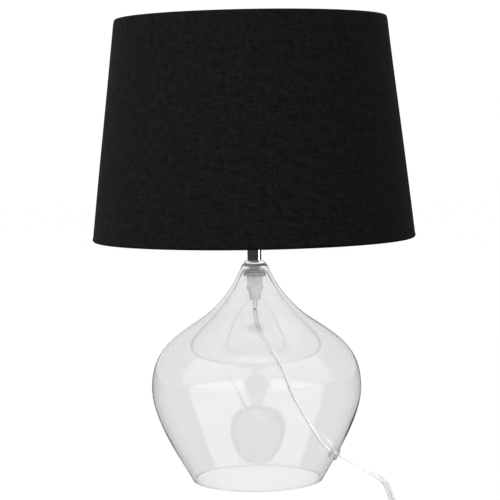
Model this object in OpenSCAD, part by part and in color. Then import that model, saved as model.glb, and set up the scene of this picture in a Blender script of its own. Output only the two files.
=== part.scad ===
// Table lamp: an open-bottomed blown-glass body, a chrome neck, a screw-in bulb holder,
// a tapered fabric shade on a wire frame, and a clear flat mains cord that runs down
// inside the glass, out through a grommet, and on to an inline switch and a plug.
// Sizes are in millimetres. The origin is the centre of the glass base, with +Z up.

/* [Glass body] */
// Height of the glass from its base to its neck rim
glass_h = 201.5; // [190:0.5:240]
// Outer radius of the neck rim
neck_r = 12; // [11.5:0.5:15]
// Outer radius where the neck turns into the shoulder
shoulder_r = 53; // [43:1:62]
// Height where the neck turns into the shoulder
shoulder_z = 150.5; // [140:0.5:165]
// Slope of the shoulder at that height, in degrees below level
shoulder_slope = 33.7; // [28:0.1:40]
// Largest outer radius of the glass
belly_r = 98; // [80:1:118]
// Height of the largest radius
belly_z = 87; // [72:1:105]
// Outer radius of the base rim
base_r = 61.5; // [51:0.5:74]
// Thickness of the glass wall
glass_wall = 3.4; // [2.8:0.1:4.2]

/* [Neck fittings] */
// Radius of the threaded tube that clamps the neck
tube_r = 5; // [4:0.1:6]
// Bore radius of the threaded tube
tube_bore_r = 3.7; // [2.8:0.1:3.9]
// Outer radius of the polished neck tube
neck_tube_r = 6.5; // [6.3:0.1:8]
// Length of the polished neck tube
neck_tube_h = 27; // [25:0.5:37]
// Radius of the domed washer on the rim
top_washer_r = 10.3; // [8.5:0.1:12.4]
// Height of the domed washer
top_washer_h = 3.5; // [2.9:0.1:4.2]
// Thickness of the clear gasket on the rim
top_gasket_h = 1; // [0.8:0.1:1.2]
// Depth of the lower gasket's upper face below the rim
lower_gasket_depth = 4.7; // [4:0.1:6]
// Thickness of the lower gasket
lower_gasket_h = 2.2; // [1.8:0.1:2.7]
// Gap between the glass and the washer under the lower gasket
lower_washer_gap = 0.5; // [0.3:0.1:1.2]
// Thickness of the washer under the lower gasket
lower_washer_h = 3.4; // [2.8:0.1:4.1]
// Width across the flats of the tube nut
tube_nut_af = 15; // [14.2:0.1:20.4]
// Thickness of the tube nut
tube_nut_h = 2.6; // [2.2:0.1:3.2]

/* [Cord grip] */
// Width across the flats of the grip body
grip_af = 14; // [13:0.1:16.8]
// Height of the grip body
grip_body_h = 6.6; // [5.5:0.1:8]
// Radius of the grip nut's collar
grip_collar_r = 7.85; // [6.6:0.05:9.4]
// Height of the grip nut's collar
grip_collar_h = 3.5; // [2.9:0.1:4.2]
// Radius of the grip nose where it leaves the collar
grip_nose_r = 6.5; // [5.5:0.1:7.8]
// Radius of the grip nose at its tip
grip_tip_r = 4.9; // [4.2:0.1:5.9]
// Length of the grip nose
grip_nose_h = 10; // [8.3:0.1:12]

/* [Bulb holder] */
// Room between the screw sleeve and the insert around it
holder_room = 1.6; // [0.8:0.1:3]
// Wall of the holder's cap and shell
holder_wall = 1.8; // [1.5:0.1:2.1]
// Height of the holder's cap
holder_cap_h = 18; // [15:0.5:21.6]
// Height of the holder's threaded shell
holder_shell_h = 38; // [36:0.5:45]
// Clearance between the bulb's screw cap and the screw sleeve
sleeve_clearance = 0.6; // [0.4:0.1:0.9]
// Wall of the screw sleeve
sleeve_wall = 1; // [0.8:0.1:1.2]

/* [Bulb] */
// Radius of the bulb's screw cap
bulb_cap_r = 13.2; // [12:0.1:15.9]
// Height of the bulb's screw cap
bulb_cap_h = 19; // [16:0.5:22]
// Largest radius of the glass bulb
bulb_r = 17.5; // [15.4:0.1:21]
// Height of the glass bulb
bulb_h = 70; // [58:1:84]
// Thickness of the bulb's glass
bulb_wall = 0.9; // [0.7:0.1:1.1]

/* [Shade] */
// Outer radius of the shade's bottom edge
shade_bottom_r = 150; // [125:1:180]
// Outer radius of the shade's top edge
shade_top_r = 126; // [105:1:151]
// Height of the shade
shade_h = 204; // [168:0.5:243]
// Thickness of the fabric cover
cloth = 0.6; // [0.5:0.1:0.7]
// Thickness of the stiff liner
liner = 0.8; // [0.6:0.1:1]
// Radius of the frame's wire
wire_r = 1.5; // [1.2:0.1:1.8]
// Height of the holder seat above the shade's bottom edge
seat_rise = 34.8; // [29:0.1:42]
// Thickness of the frame's seat ring
seat_h = 1.5; // [1.2:0.1:1.8]
// Number of spokes in the frame
spokes = 3; // [3:1:4]

/* [Shade rings] */
// Height of the seat above the holder's foot
seat_height = 28.3; // [26:0.1:32]
// Width of the shade rings' flanges around the holder
ring_flange = 7; // [5.6:0.1:8.4]
// Thickness of the shade rings' collars around the holder
ring_collar = 2.9; // [2.4:0.1:3.5]
// Height of one shade ring
ring_h = 6.5; // [5.4:0.1:7.8]

/* [Cord] */
// Width of the flat cord
cord_w = 5.2; // [4.3:0.05:6.3]
// Thickness of the flat cord
cord_t = 2.6; // [2.2:0.1:3.1]
// Width of the grommet's flange beyond the hole
grommet_lip = 1.7; // [1.4:0.1:2.1]
// Thickness of the grommet's flange
grommet_h = 2.2; // [1.8:0.1:2.6]
// Radius of the hole in the glass for the grommet
glass_hole_r = 4.5; // [4.2:0.1:5.4]

/* [Switch] */
// Length of the inline switch
switch_l = 56; // [52:1:67]
// Width of the inline switch
switch_w = 22; // [19:0.5:26]
// Height of the switch base
switch_base_h = 7.2; // [6.9:0.1:8.6]
// Height of the switch cover
switch_cover_h = 8.4; // [7:0.1:10]
// Wall of the switch base and cover
switch_wall = 1.6; // [1.3:0.1:1.9]
// Length of the rocker
rocker_l = 20; // [17:0.5:24]
// Width of the rocker
rocker_w = 9; // [7.5:0.5:10.8]
// Tilt of the rocker either way, in degrees
rocker_tilt = 7; // [5.8:0.1:8.4]

/* [Plug] */
// Length of the plug body
plug_l = 26; // [22:0.5:31]
// Width of the plug at its face
plug_w = 35.3; // [30:0.1:42]
// Thickness of the plug
plug_t = 13.7; // [11.5:0.1:16.4]
// Radius of a pin
pin_r = 2; // [1.7:0.1:2.4]
// Distance between the pins
pin_pitch = 18.6; // [16:0.1:22]
// Length of a pin
pin_l = 19; // [16:0.5:23]

/* [Hidden] */
// Radial clearance of pieces that fit together
fit = 0.1;
// Clearance between pieces that move past each other
gap = 0.3;
// Height of the cord and its pieces above the surface
lift = 0.2;
// How far a cut runs past the face that it opens
over = 1;
$fn = 96;
// Facets of a wire's section, and sides of a hexagon
WIRE = 32;
HEX = 6;

// Handles of the glass outline, from the ends of its three curves
neck_handle = [13, -31];
shoulder_back = 10.8;
shoulder_ahead = 30.7;
belly_up = 35;
belly_down = 27;
base_handle = [13.5, 23.6];
curve_steps = 14;
rim_round = 0.9;
rim_steps = 4;

// Stack above the rim
top_washer_z = glass_h + top_gasket_h;
neck_tube_z = top_washer_z + top_washer_h;
holder_z = neck_tube_z + neck_tube_h;
washer_edge = 0.8;
washer_crown_r = neck_tube_r + 0.5;
washer_bulge = 0.75;
tube_in_holder = 9;
tube_top_z = holder_z + tube_in_holder;

// Stack below the rim
lower_gasket_z = glass_h - lower_gasket_depth - lower_gasket_h;
lower_washer_z = lower_gasket_z - lower_washer_h;
tube_nut_z = lower_washer_z - tube_nut_h;
grip_body_z = tube_nut_z - fit - grip_body_h;
grip_collar_z = grip_body_z - fit - grip_collar_h;
grip_tip_z = grip_collar_z - grip_nose_h;
grip_floor = 2;
tube_low_z = grip_body_z + grip_floor;
grip_cavity_r = tube_r - 1;

// Bulb holder
insert_wall = 1.2;
sleeve_r = bulb_cap_r + sleeve_clearance;
insert_r = sleeve_r + sleeve_wall + holder_room + insert_wall;
holder_r = insert_r + fit + holder_wall;
cap_foot_r = neck_tube_r + 2;
cap_foot_h = 2;
cap_dome = holder_r - cap_foot_r;
cap_dome_z = holder_z + cap_foot_h + cap_dome;
shell_z = holder_z + holder_cap_h + fit;
shell_top_z = shell_z + holder_shell_h;
shell_lip_h = 1.5;
shell_lip_w = 1;
insert_rise = 0.8;
insert_z = shell_z + insert_rise;
insert_floor_h = 6.5;
insert_top_z = shell_top_z - shell_lip_h - fit;
contact_z = insert_z + insert_floor_h;
contact_r = 3.5;
contact_h = 2.2;
contact_strip = [11, 5, 0.6];
sleeve_gap = 1;
sleeve_z = contact_z + contact_h + sleeve_gap;
screw_r = 1.5;
screw_head_r = 2.6;
screw_head_h = 1.6;
screw_l = 5;
screw_x = 9;
wire_gap = 1;
holder_nut_af = 2 * tube_r + 3.8;
holder_nut_h = 2.4;

// Bulb
bulb_tip_z = contact_z + contact_h + gap;
bulb_tip_r = 4.2;
bulb_tip_h = 1.4;
insulator_z = bulb_tip_z + bulb_tip_h;
insulator_h = 4.2;
insulator_low_r = 5;
insulator_top_r = bulb_cap_r - 2.2;
bulb_cap_z = insulator_z + insulator_h;
globe_z = bulb_cap_z + bulb_cap_h;
globe_step = 0.8;
globe_foot_r = bulb_cap_r - globe_step;
globe_belly_z = 26;
globe_foot_handle = 9;
globe_belly_low = 12;
globe_belly_high = 20;
globe_tip_handle = 4;
led_post_r = 6;
led_post_h = 20;
led_post_taper = 1;

// Shade and its rings
seat_z = holder_z + seat_height;
shade_z = seat_z - seat_rise;
shade_top_z = shade_z + shade_h;
shade_slope = (shade_bottom_r - shade_top_r) / shade_h;
hem_r = wire_r + fit + cloth;
bottom_wire_z = shade_z + hem_r;
top_wire_z = shade_top_z - hem_r;
bottom_wire_r = shade_bottom_r - hem_r;
top_wire_r = shade_top_r - hem_r;
seat_clearance = 1.5;
seat_rim = 3.5;
ring_flange_r = holder_r + ring_flange;
ring_collar_r = holder_r + ring_collar;
seat_hole_r = holder_r + seat_clearance;
seat_r = ring_flange_r + seat_rim;
spoke_low_r = bottom_wire_r - wire_r - 2 * fit;
spoke_top_r = seat_r - wire_r / 2;
spoke_top_z = seat_z + seat_h / 2;
spoke_turn = 360 / spokes;
spoke_start = 90;
flange_h = 1.6;

// Cord exit: its axis passes through these two places, given as [distance, height]
exit_inside = [66, 26];
exit_outside = [86, 15];
exit_tilt = atan2(exit_inside[1] - exit_outside[1], exit_outside[0] - exit_inside[0]);
exit_tries = 12;
grommet_neck_r = glass_hole_r - fit;
grommet_r = grommet_neck_r + grommet_lip;
grommet_inner_lip = 1;
grommet_inner_r = grommet_neck_r + grommet_inner_lip;
grommet_inner_h = 1.6;
grommet_round = 0.6;
grommet_bore_r = cord_w / 2 + 0.15;
grommet_seat = 0.35;

// Inline switch
switch_x = 52;
cord_y = -184;
switch_z = lift;
switch_round = 8;
cord_entry_z = 4.8;
entry_clearance = 0.5;
entry_w = cord_w + entry_clearance;
entry_h = cord_t + entry_clearance;
switch_top_z = switch_z + switch_base_h + fit + switch_cover_h;
pivot_depth = 2.6;
rocker_z = switch_top_z - pivot_depth;
rocker_end_h = 3.6;
rocker_middle_h = 1.4;
rocker_below = 1.6;
rocker_dish_r = 21;
rocker_foot = [5, 3.4];
pivot_r = 1.2;
pivot_reach = 1.5;
pivot_l = rocker_w + 2 * pivot_reach;
pivot_lug = 1.5;
boss_r = 2.9;
boss_x = 20.5;
switch_screw_r = 1.3;
switch_screw_l = 9;
strip_h = 0.8;
strip_w = 3.4;
strip_l = 17;
strip_gap = 5;
strip_y = 5.2;

// Coil of the cord's spare length: two layers of three turns, with the cord on edge
coil_x = -10;
coil_turn_r = 36;
coil_turns = 3;
coil_pitch = cord_t + 0.6;
coil_slack = 0.5;
coil_y = cord_y - coil_turn_r;
coil_high_r = coil_turn_r + cord_t / 2 + coil_slack;
coil_low_r = coil_turn_r - coil_turns * coil_pitch - cord_t / 2 - coil_slack;
coil_layer_gap = 0.2;
coil_low_z = lift + coil_layer_gap + cord_w / 2;
coil_high_z = coil_low_z + cord_w + coil_layer_gap;
coil_h = coil_high_z + cord_w / 2 + coil_layer_gap - lift;

// Plug
plug_rear_x = -86;
relief_l = 18;
relief_tip_r = cord_w / 2 + 1.1;
relief_foot_r = relief_tip_r + 1.5;
plug_x = plug_rear_x - relief_l;
plug_z = lift + plug_t / 2;
plug_rear_w = 13;
plug_shoulder = 12;
plug_rear_t = 10.8;
pin_sleeve_step = 0.3;
pin_sleeve_r = pin_r - pin_sleeve_step;
pin_sleeve_t = 0.3;
pin_core_r = pin_sleeve_r - pin_sleeve_t;
pin_sleeve_l = 10;
pin_root = 9;

// Height of the cord's middle where it lies flat on the surface
lay_z = lift + cord_t / 2 + 0.1;
// Cord route from grip to switch, each [x, y, z, roll]; roll 0 lies flat, 90 on edge
lamp_route = [
    [0, 0, grip_tip_z, 90], [0, 0, 155, 90], [1.5, 0, 145, 90], [6, 0, 134.5, 84],
    [12.5, 0, 124.5, 70], [19, 0, 114, 55], [24.5, 0, 102.5, 42], [29, 0, 90.5, 34],
    [33.5, 0, 78.5, 28], [39.5, 0, 66.5, 24], [46.5, 0, 54.5, 20], [54, 0, 42.5, 18],
    [60.5, 0, 32.5, 16], [68, 0, 24.9, 15], [77, 0, 19.95, 15], [86, 0, 15, 15],
    [95.5, -2.5, 10, 12], [104, -8, 6, 8], [110.5, -16.5, 3.4, 4],
    [114.5, -27, 2, 2], [116.5, -38.5, lay_z, 0], [117, -50, lay_z, 0],
    [117, -65, lay_z, 0], [117, -80, lay_z, 0], [117, -95, lay_z, 0],
    [117, -110, lay_z, 0], [117, -125, lay_z, 0], [117, -140, lay_z, 0],
    [117, -154, lay_z, 0], [115, -168, lay_z, 0], [109.5, -176.5, lay_z, 0],
    [101, -182, 2.4, 0], [91, cord_y, 3.8, 0],
    [switch_x + switch_l / 2, cord_y, cord_entry_z, 0]
];
// From the switch to the coil
link_route = [
    [switch_x - switch_l / 2, cord_y, cord_entry_z, 0], [13, cord_y, 4.6, 25],
    [2, cord_y, 4, 60], [coil_x, cord_y, coil_low_z, 90]
];
// From the coil to the plug
tail_route = [
    [coil_x, cord_y, coil_high_z, 90], [-22, cord_y, 8.2, 75], [-34, cord_y, 6.4, 50],
    [-46, cord_y, 3.8, 20], [-56, cord_y, 2.2, 0], [-66, cord_y, 3.6, 0],
    [-77, cord_y, plug_z, 0], [plug_rear_x, cord_y, plug_z, 0]
];
cord_sides = 8;

// ---- Curves and outlines -------------------------------------------------------

function unit(v) = v / norm(v);

function bezier(p, t) =
    pow(1 - t, 3) * p[0] + 3 * pow(1 - t, 2) * t * p[1]
    + 3 * (1 - t) * pow(t, 2) * p[2] + pow(t, 3) * p[3];

function bezier_heading(p, t) =
    unit(pow(1 - t, 2) * (p[1] - p[0]) + 2 * (1 - t) * t * (p[2] - p[1])
    + pow(t, 2) * (p[3] - p[2]));

// A curve's points, moved sideways by wall, to the left of a downward run
function curve_points(p, wall = 0, first = 0) = [
    for (i = [first:curve_steps])
        let (t = i / curve_steps, d = bezier_heading(p, t))
            bezier(p, t) + wall * [d[1], -d[0]]
];

function arc(centre, r, from, to, steps) = [
    for (i = [0:steps])
        let (a = from + (to - from) * i / steps) centre + r * [cos(a), sin(a)]
];

function reversed(list) = [for (i = [len(list) - 1:-1:0]) list[i]];

rim = [neck_r, glass_h];
shoulder = [shoulder_r, shoulder_z];
shoulder_heading = [cos(shoulder_slope), -sin(shoulder_slope)];
belly = [belly_r, belly_z];
foot = [base_r, rim_round];
neck_curve = [rim, rim + neck_handle, shoulder - shoulder_back * shoulder_heading,
    shoulder];
shoulder_curve = [shoulder, shoulder + shoulder_ahead * shoulder_heading,
    belly + [0, belly_up], belly];
belly_curve = [belly, belly - [0, belly_down], foot + base_handle, foot];

// The glass wall from the rim to the base, wall millimetres inside its outer face
function glass_line(wall) = concat(curve_points(neck_curve, wall),
    curve_points(shoulder_curve, wall, 1), curve_points(belly_curve, wall, 1));

outer_line = glass_line(0);
inner_line = glass_line(glass_wall);
outer_table = [for (p = outer_line) [p[1], p[0]]];
inner_table = [for (p = inner_line) [p[1], p[0]]];
inner_foot_r = inner_line[len(inner_line) - 1][0];

function exit_height(r) = exit_inside[1] - (r - exit_inside[0]) * tan(exit_tilt);

// Radius at which the exit axis meets the outer face
function exit_radius(r, tries) =
    tries == 0 ? r : exit_radius(lookup(exit_height(r), outer_table), tries - 1);

exit_r = exit_radius(base_r, exit_tries);
exit_z = exit_height(exit_r);

// ---- Shared shapes -------------------------------------------------------------

module ring(r, bore, h, z = 0) {
    translate([0, 0, z]) difference() {
        cylinder(r = r, h = h);
        translate([0, 0, -over]) cylinder(r = bore, h = h + 2 * over);
    }
}

module hex_ring(af, bore, h, z) {
    translate([0, 0, z]) difference() {
        cylinder(r = af / 2 / cos(180 / HEX), h = h, $fn = HEX);
        translate([0, 0, -over]) cylinder(r = bore, h = h + 2 * over);
    }
}

// A round rod between two points of the plane through the axis, each [radius, height]
module rod(from, to, r) {
    run = to - from;
    translate([from[0], 0, from[1]])
        rotate([0, atan2(run[0], run[1]), 0])
            cylinder(r = r, h = norm(run));
}

module at_spokes() {
    for (i = [0:spokes - 1]) rotate([0, 0, spoke_start + i * spoke_turn]) children();
}

module spoke(r) {
    rod([spoke_top_r, spoke_top_z], [spoke_low_r, bottom_wire_z], r);
}

module wire_ring(r, z) {
    translate([0, 0, z]) rotate_extrude() translate([r, 0]) circle(r = wire_r, $fn = WIRE);
}

module plate(l, w, corner, h) {
    linear_extrude(h) {
        square([l - 2 * corner, w], center = true);
        square([l, w - 2 * corner], center = true);
        for (x = [-1, 1], y = [-1, 1])
            translate([x * (l / 2 - corner), y * (w / 2 - corner)]) circle(r = corner);
    }
}

module at_exit() {
    translate([exit_r, 0, exit_z]) rotate([0, 90 + exit_tilt, 0]) children();
}

module at_switch(z) {
    translate([switch_x, cord_y, z]) children();
}

// ---- Cord ----------------------------------------------------------------------

function place(route, i) = [route[i][0], route[i][1], route[i][2]];

function heading(route, i) =
    unit(place(route, min(i + 1, len(route) - 1)) - place(route, max(i - 1, 0)));

// Level direction across the cord; a cord that hangs plumb has it along Y
function across(d) = norm([d[0], d[1]]) < 0.001 ? [0, -1, 0] : unit([d[1], -d[0], 0]);

function cord_ring(route, i) =
    let (d = heading(route, i), side = across(d), up = cross(side, d),
        roll = route[i][3],
        wide = side * cos(roll) + up * sin(roll),
        thin = up * cos(roll) - side * sin(roll))
        [for (k = [0:cord_sides - 1])
            let (a = 360 * k / cord_sides)
                place(route, i) + wide * cord_w / 2 * cos(a) + thin * cord_t / 2 * sin(a)];

module cord_tube(route) {
    rings = len(route);
    points = [for (i = [0:rings - 1]) each cord_ring(route, i)];
    sides = [for (i = [0:rings - 2], k = [0:cord_sides - 1])
        let (a = i * cord_sides + k, b = i * cord_sides + (k + 1) % cord_sides)
            each [[a, b, b + cord_sides], [a, b + cord_sides, a + cord_sides]]];
    start = [for (k = [cord_sides - 1:-1:0]) k];
    end = [for (k = [0:cord_sides - 1]) (rings - 1) * cord_sides + k];
    polyhedron(points = points, faces = concat([start], sides, [end]));
}

module lamp_cord() {
    color("white") cord_tube(lamp_route);
}

module link_cord() {
    color("white") cord_tube(link_route);
}

module tail_cord() {
    color("white") cord_tube(tail_route);
}

module cord_coil() {
    color("white")
        translate([coil_x, coil_y, lift])
            ring(coil_high_r, coil_low_r, coil_h);
}

// ---- Glass body and neck -------------------------------------------------------

module glass_body() {
    edge = arc([base_r - rim_round, rim_round], rim_round, 0, -90, rim_steps);
    inner_edge = arc([inner_foot_r + rim_round, rim_round], rim_round, -90, -180,
        rim_steps);
    color("azure", 0.3)
        difference() {
            rotate_extrude()
                polygon(concat(outer_line, edge, inner_edge, reversed(inner_line),
                    [[inner_line[0][0], glass_h]]));
            at_exit() translate([0, 0, -2 * glass_wall])
                cylinder(r = glass_hole_r, h = 4 * glass_wall);
        }
}

module top_gasket() {
    color("gainsboro") ring(neck_r - 4 * fit, tube_r + fit, top_gasket_h, glass_h);
}

module top_washer() {
    crown = top_washer_h - washer_edge;
    color("silver")
        translate([0, 0, top_washer_z]) rotate_extrude()
            polygon([
                [tube_r + fit, 0], [top_washer_r, 0], [top_washer_r, washer_edge],
                [(top_washer_r + washer_crown_r) / 2, washer_edge + crown * washer_bulge],
                [washer_crown_r, top_washer_h], [tube_r + fit, top_washer_h]
            ]);
}

module neck_tube() {
    color("silver") ring(neck_tube_r, tube_r + fit, neck_tube_h, neck_tube_z);
}

module threaded_tube() {
    color("silver") ring(tube_r, tube_bore_r, tube_top_z - tube_low_z, tube_low_z);
}

module lower_gasket() {
    edge_r = lookup(lower_gasket_z + lower_gasket_h, inner_table) - fit;
    color("gainsboro") ring(edge_r, tube_r + fit, lower_gasket_h, lower_gasket_z);
}

module lower_washer() {
    edge_r = lookup(lower_gasket_z, inner_table) - lower_washer_gap;
    color("silver") ring(edge_r, tube_r + fit, lower_washer_h, lower_washer_z);
}

module tube_nut() {
    color("white") hex_ring(tube_nut_af, tube_r + fit, tube_nut_h, tube_nut_z);
}

module grip_body() {
    color("gainsboro") difference() {
        hex_ring(grip_af, grip_cavity_r, grip_body_h, grip_body_z);
        translate([0, 0, tube_low_z - fit])
            cylinder(r = tube_r + fit, h = grip_body_h);
    }
}

module grip_nut() {
    color("gainsboro") difference() {
        union() {
            translate([0, 0, grip_collar_z])
                cylinder(r = grip_collar_r, h = grip_collar_h);
            translate([0, 0, grip_tip_z])
                cylinder(r1 = grip_tip_r, r2 = grip_nose_r, h = grip_nose_h);
        }
        translate([0, 0, grip_tip_z - over])
            cylinder(r = cord_w / 2 + 2 * fit, h = grip_nose_h + grip_collar_h + 2 * over);
    }
}

// ---- Bulb holder ---------------------------------------------------------------

module holder_cap() {
    dome = [cap_foot_r, cap_dome_z];
    floor_z = cap_dome_z - cap_dome + holder_wall;
    top_z = holder_z + holder_cap_h;
    color("dimgray")
        rotate_extrude() polygon(concat(
            [[tube_r + fit, holder_z], [cap_foot_r, holder_z]],
            arc(dome, cap_dome, -90, 0, curve_steps),
            [[holder_r, top_z], [holder_r - holder_wall, top_z]],
            arc(dome, cap_dome - holder_wall, 0, -90, curve_steps),
            [[tube_r + fit, floor_z]]));
}

module holder_nut() {
    z = cap_dome_z - cap_dome + holder_wall + fit;
    color("silver") hex_ring(holder_nut_af, tube_r + fit, holder_nut_h, z);
}

module holder_shell() {
    lip_r = insert_r - insert_wall - shell_lip_w;
    color("dimgray") {
        ring(holder_r, holder_r - holder_wall, holder_shell_h - shell_lip_h, shell_z);
        ring(holder_r, lip_r, shell_lip_h, shell_top_z - shell_lip_h);
    }
}

module holder_insert() {
    color("ivory") difference() {
        union() {
            translate([0, 0, insert_z]) cylinder(r = insert_r, h = insert_floor_h);
            ring(insert_r, insert_r - insert_wall, insert_top_z - insert_z, insert_z);
        }
        for (side = [-1, 1]) translate([side * screw_x, 0, insert_z - over])
            cylinder(r = screw_r + fit, h = screw_l + over);
    }
}

module screw_sleeve() {
    top_z = insert_top_z - sleeve_gap;
    color("gold") ring(sleeve_r + sleeve_wall, sleeve_r, top_z - sleeve_z, sleeve_z);
}

module centre_contact() {
    color("gold") translate([0, 0, contact_z]) {
        cylinder(r = contact_r, h = contact_h);
        translate([0, -contact_strip[1] / 2, 0]) cube(contact_strip);
    }
}

module terminal_screws() {
    color("silver")
        for (side = [-1, 1]) translate([side * screw_x, 0, insert_z]) {
            cylinder(r = screw_r, h = screw_l - fit);
            translate([0, 0, -fit - screw_head_h]) cylinder(r = screw_head_r,
                h = screw_head_h);
            translate([0, 0, -fit]) cylinder(r = screw_r, h = 2 * fit);
        }
}

module inner_wires() {
    top_z = insert_z - screw_head_h - wire_gap;
    color("white")
        for (side = [-1, 1]) translate([side * cord_w / 4, 0, grip_collar_z])
            cylinder(r = cord_t / 2 - 2 * fit, h = top_z - grip_collar_z, $fn = WIRE);
}

// ---- Bulb ----------------------------------------------------------------------

module bulb_contact() {
    color("silver") translate([0, 0, bulb_tip_z]) cylinder(r = bulb_tip_r, h = bulb_tip_h);
}

module bulb_insulator() {
    color("black") translate([0, 0, insulator_z])
        cylinder(r1 = insulator_low_r, r2 = insulator_top_r, h = insulator_h);
}

module bulb_cap() {
    color("silver") translate([0, 0, bulb_cap_z]) cylinder(r = bulb_cap_r, h = bulb_cap_h);
}

// Outline of the bulb's glass, wall millimetres inside its outer face
function globe_line(wall) =
    let (foot = [globe_foot_r - wall, 0], widest = [bulb_r - wall, globe_belly_z],
        tip = [0, bulb_h - wall])
        concat(
            curve_points([foot, foot + [0, globe_foot_handle],
                widest - [0, globe_belly_low], widest]),
            curve_points([widest, widest + [0, globe_belly_high],
                tip + [globe_tip_handle, 0], tip], 0, 1));

module bulb_globe() {
    color("white") translate([0, 0, globe_z]) difference() {
        rotate_extrude() polygon(concat([[0, 0]], globe_line(0)));
        translate([0, 0, -fit])
            rotate_extrude() polygon(concat([[0, 0]], globe_line(bulb_wall)));
    }
}

module led_post() {
    color("white") translate([0, 0, globe_z + fit])
        cylinder(r1 = led_post_r, r2 = led_post_r - led_post_taper, h = led_post_h);
}

// ---- Shade ---------------------------------------------------------------------

module shade_ring_piece(bore) {
    ring(ring_flange_r, bore, flange_h);
    ring(ring_collar_r, bore, ring_h);
}

module lower_shade_ring() {
    color("dimgray") translate([0, 0, seat_z - gap]) mirror([0, 0, 1])
        shade_ring_piece(holder_r + fit / 2);
}

module upper_shade_ring() {
    color("dimgray") translate([0, 0, seat_z + seat_h + gap])
        shade_ring_piece(holder_r + gap);
}

module shade_fitter() {
    color("white") {
        ring(seat_r, seat_hole_r, seat_h, seat_z);
        at_spokes() spoke(wire_r);
    }
}

module bottom_wire_ring() {
    color("white") wire_ring(bottom_wire_r, bottom_wire_z);
}

module top_wire_ring() {
    color("white") wire_ring(top_wire_r, top_wire_z);
}

// A tapered wall between two heights, its outer face inset from the shade's
module shade_wall(low_z, high_z, inset, thick) {
    low_r = shade_bottom_r - inset - (low_z - shade_z) * shade_slope;
    high_r = shade_bottom_r - inset - (high_z - shade_z) * shade_slope;
    rotate_extrude() polygon([[low_r, low_z], [high_r, high_z],
        [high_r - thick, high_z], [low_r - thick, low_z]]);
}

module shade_liner() {
    color("white") shade_wall(bottom_wire_z + hem_r + fit, top_wire_z - hem_r - fit,
        cloth + fit / 2, liner);
}

// A rolled edge round a frame wire
module hem(r, z) {
    translate([0, 0, z]) rotate_extrude() translate([r, 0]) difference() {
        circle(r = hem_r, $fn = WIRE);
        circle(r = hem_r - cloth, $fn = WIRE);
    }
}

module shade_fabric() {
    color("black") difference() {
        union() {
            shade_wall(bottom_wire_z, top_wire_z, 0, cloth);
            hem(bottom_wire_r, bottom_wire_z);
            hem(top_wire_r, top_wire_z);
        }
        for (w = [[bottom_wire_r, bottom_wire_z], [top_wire_r, top_wire_z]])
            translate([0, 0, w[1]]) rotate_extrude()
                translate([w[0], 0]) circle(r = hem_r - cloth, $fn = WIRE);
        at_spokes() spoke(wire_r + gap);
    }
}

// ---- Grommet -------------------------------------------------------------------

module cord_grommet() {
    inner_z = -glass_wall - grommet_seat - grommet_inner_h;
    top_z = grommet_seat + grommet_h;
    color("gainsboro") at_exit() rotate_extrude() polygon(concat(
        [[grommet_bore_r, inner_z], [grommet_inner_r, inner_z],
        [grommet_inner_r, -glass_wall - grommet_seat],
        [grommet_neck_r, -glass_wall - grommet_seat], [grommet_neck_r, grommet_seat],
        [grommet_r, grommet_seat]],
        arc([grommet_r - grommet_round, top_z - grommet_round], grommet_round, 0, 90,
            rim_steps),
        [[grommet_bore_r, top_z]]));
}

// ---- Inline switch -------------------------------------------------------------

module cord_entry() {
    at_switch(cord_entry_z)
        cube([switch_l + 2 * over, entry_w, entry_h], center = true);
}

// The screws' places, beside the cord's way through
module at_bosses() {
    for (side = [-1, 1]) at_switch(switch_z)
        translate([side * boss_x, boss_r + entry_w / 2 + fit, 0]) children();
}

module switch_base() {
    color("white") difference() {
        union() {
            difference() {
                at_switch(switch_z) plate(switch_l, switch_w, switch_round,
                    switch_base_h);
                at_switch(switch_z + switch_wall)
                    plate(switch_l - 2 * switch_wall, switch_w - 2 * switch_wall,
                        switch_round - switch_wall, switch_base_h);
            }
            at_bosses() cylinder(r = boss_r, h = switch_base_h - fit);
        }
        cord_entry();
        at_bosses() translate([0, 0, -over])
            cylinder(r = switch_screw_r + fit, h = switch_base_h + 2 * over);
    }
}

module switch_cover() {
    low_z = switch_z + switch_base_h + fit;
    lug_z = rocker_z - pivot_r - over;
    opening_w = rocker_w + 2 * gap;
    color("white") difference() {
        union() {
            difference() {
                at_switch(low_z) plate(switch_l, switch_w, switch_round, switch_cover_h);
                at_switch(low_z - over)
                    plate(switch_l - 2 * switch_wall, switch_w - 2 * switch_wall,
                        switch_round - switch_wall, switch_cover_h - switch_wall + over);
            }
            at_bosses() translate([0, 0, switch_base_h + fit])
                cylinder(r = boss_r, h = switch_cover_h - fit);
            at_switch(lug_z) linear_extrude(switch_top_z - switch_wall / 2 - lug_z)
                square([4 * pivot_r, pivot_l + 2 * pivot_lug], center = true);
        }
        at_switch(low_z) linear_extrude(2 * switch_cover_h)
            square([rocker_l + 2 * gap, opening_w], center = true);
        at_switch(rocker_z) rotate([90, 0, 0])
            cylinder(r = pivot_r + gap / 2, h = pivot_l + 2 * gap, center = true);
        at_bosses() translate([0, 0, switch_base_h])
            cylinder(r = switch_screw_r + fit, h = switch_screw_l - switch_base_h + over);
    }
}

// A dished rocker whose ends are round about its pivot
module switch_rocker() {
    color("white") at_switch(rocker_z) rotate([0, rocker_tilt, 0]) {
        rotate([90, 0, 0]) cylinder(r = pivot_r, h = pivot_l, center = true);
        translate([0, 0, -rocker_foot[1]]) linear_extrude(rocker_foot[1])
            square([rocker_foot[0], rocker_w], center = true);
        difference() {
            intersection() {
                rotate([90, 0, 0]) cylinder(r = rocker_l / 2, h = rocker_w, center = true);
                translate([0, 0, -rocker_below]) linear_extrude(rocker_below + rocker_end_h)
                    square([rocker_l, rocker_w], center = true);
            }
            translate([0, 0, rocker_middle_h + rocker_dish_r]) rotate([90, 0, 0])
                cylinder(r = rocker_dish_r, h = rocker_w + 2 * over, center = true);
        }
    }
}

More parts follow.
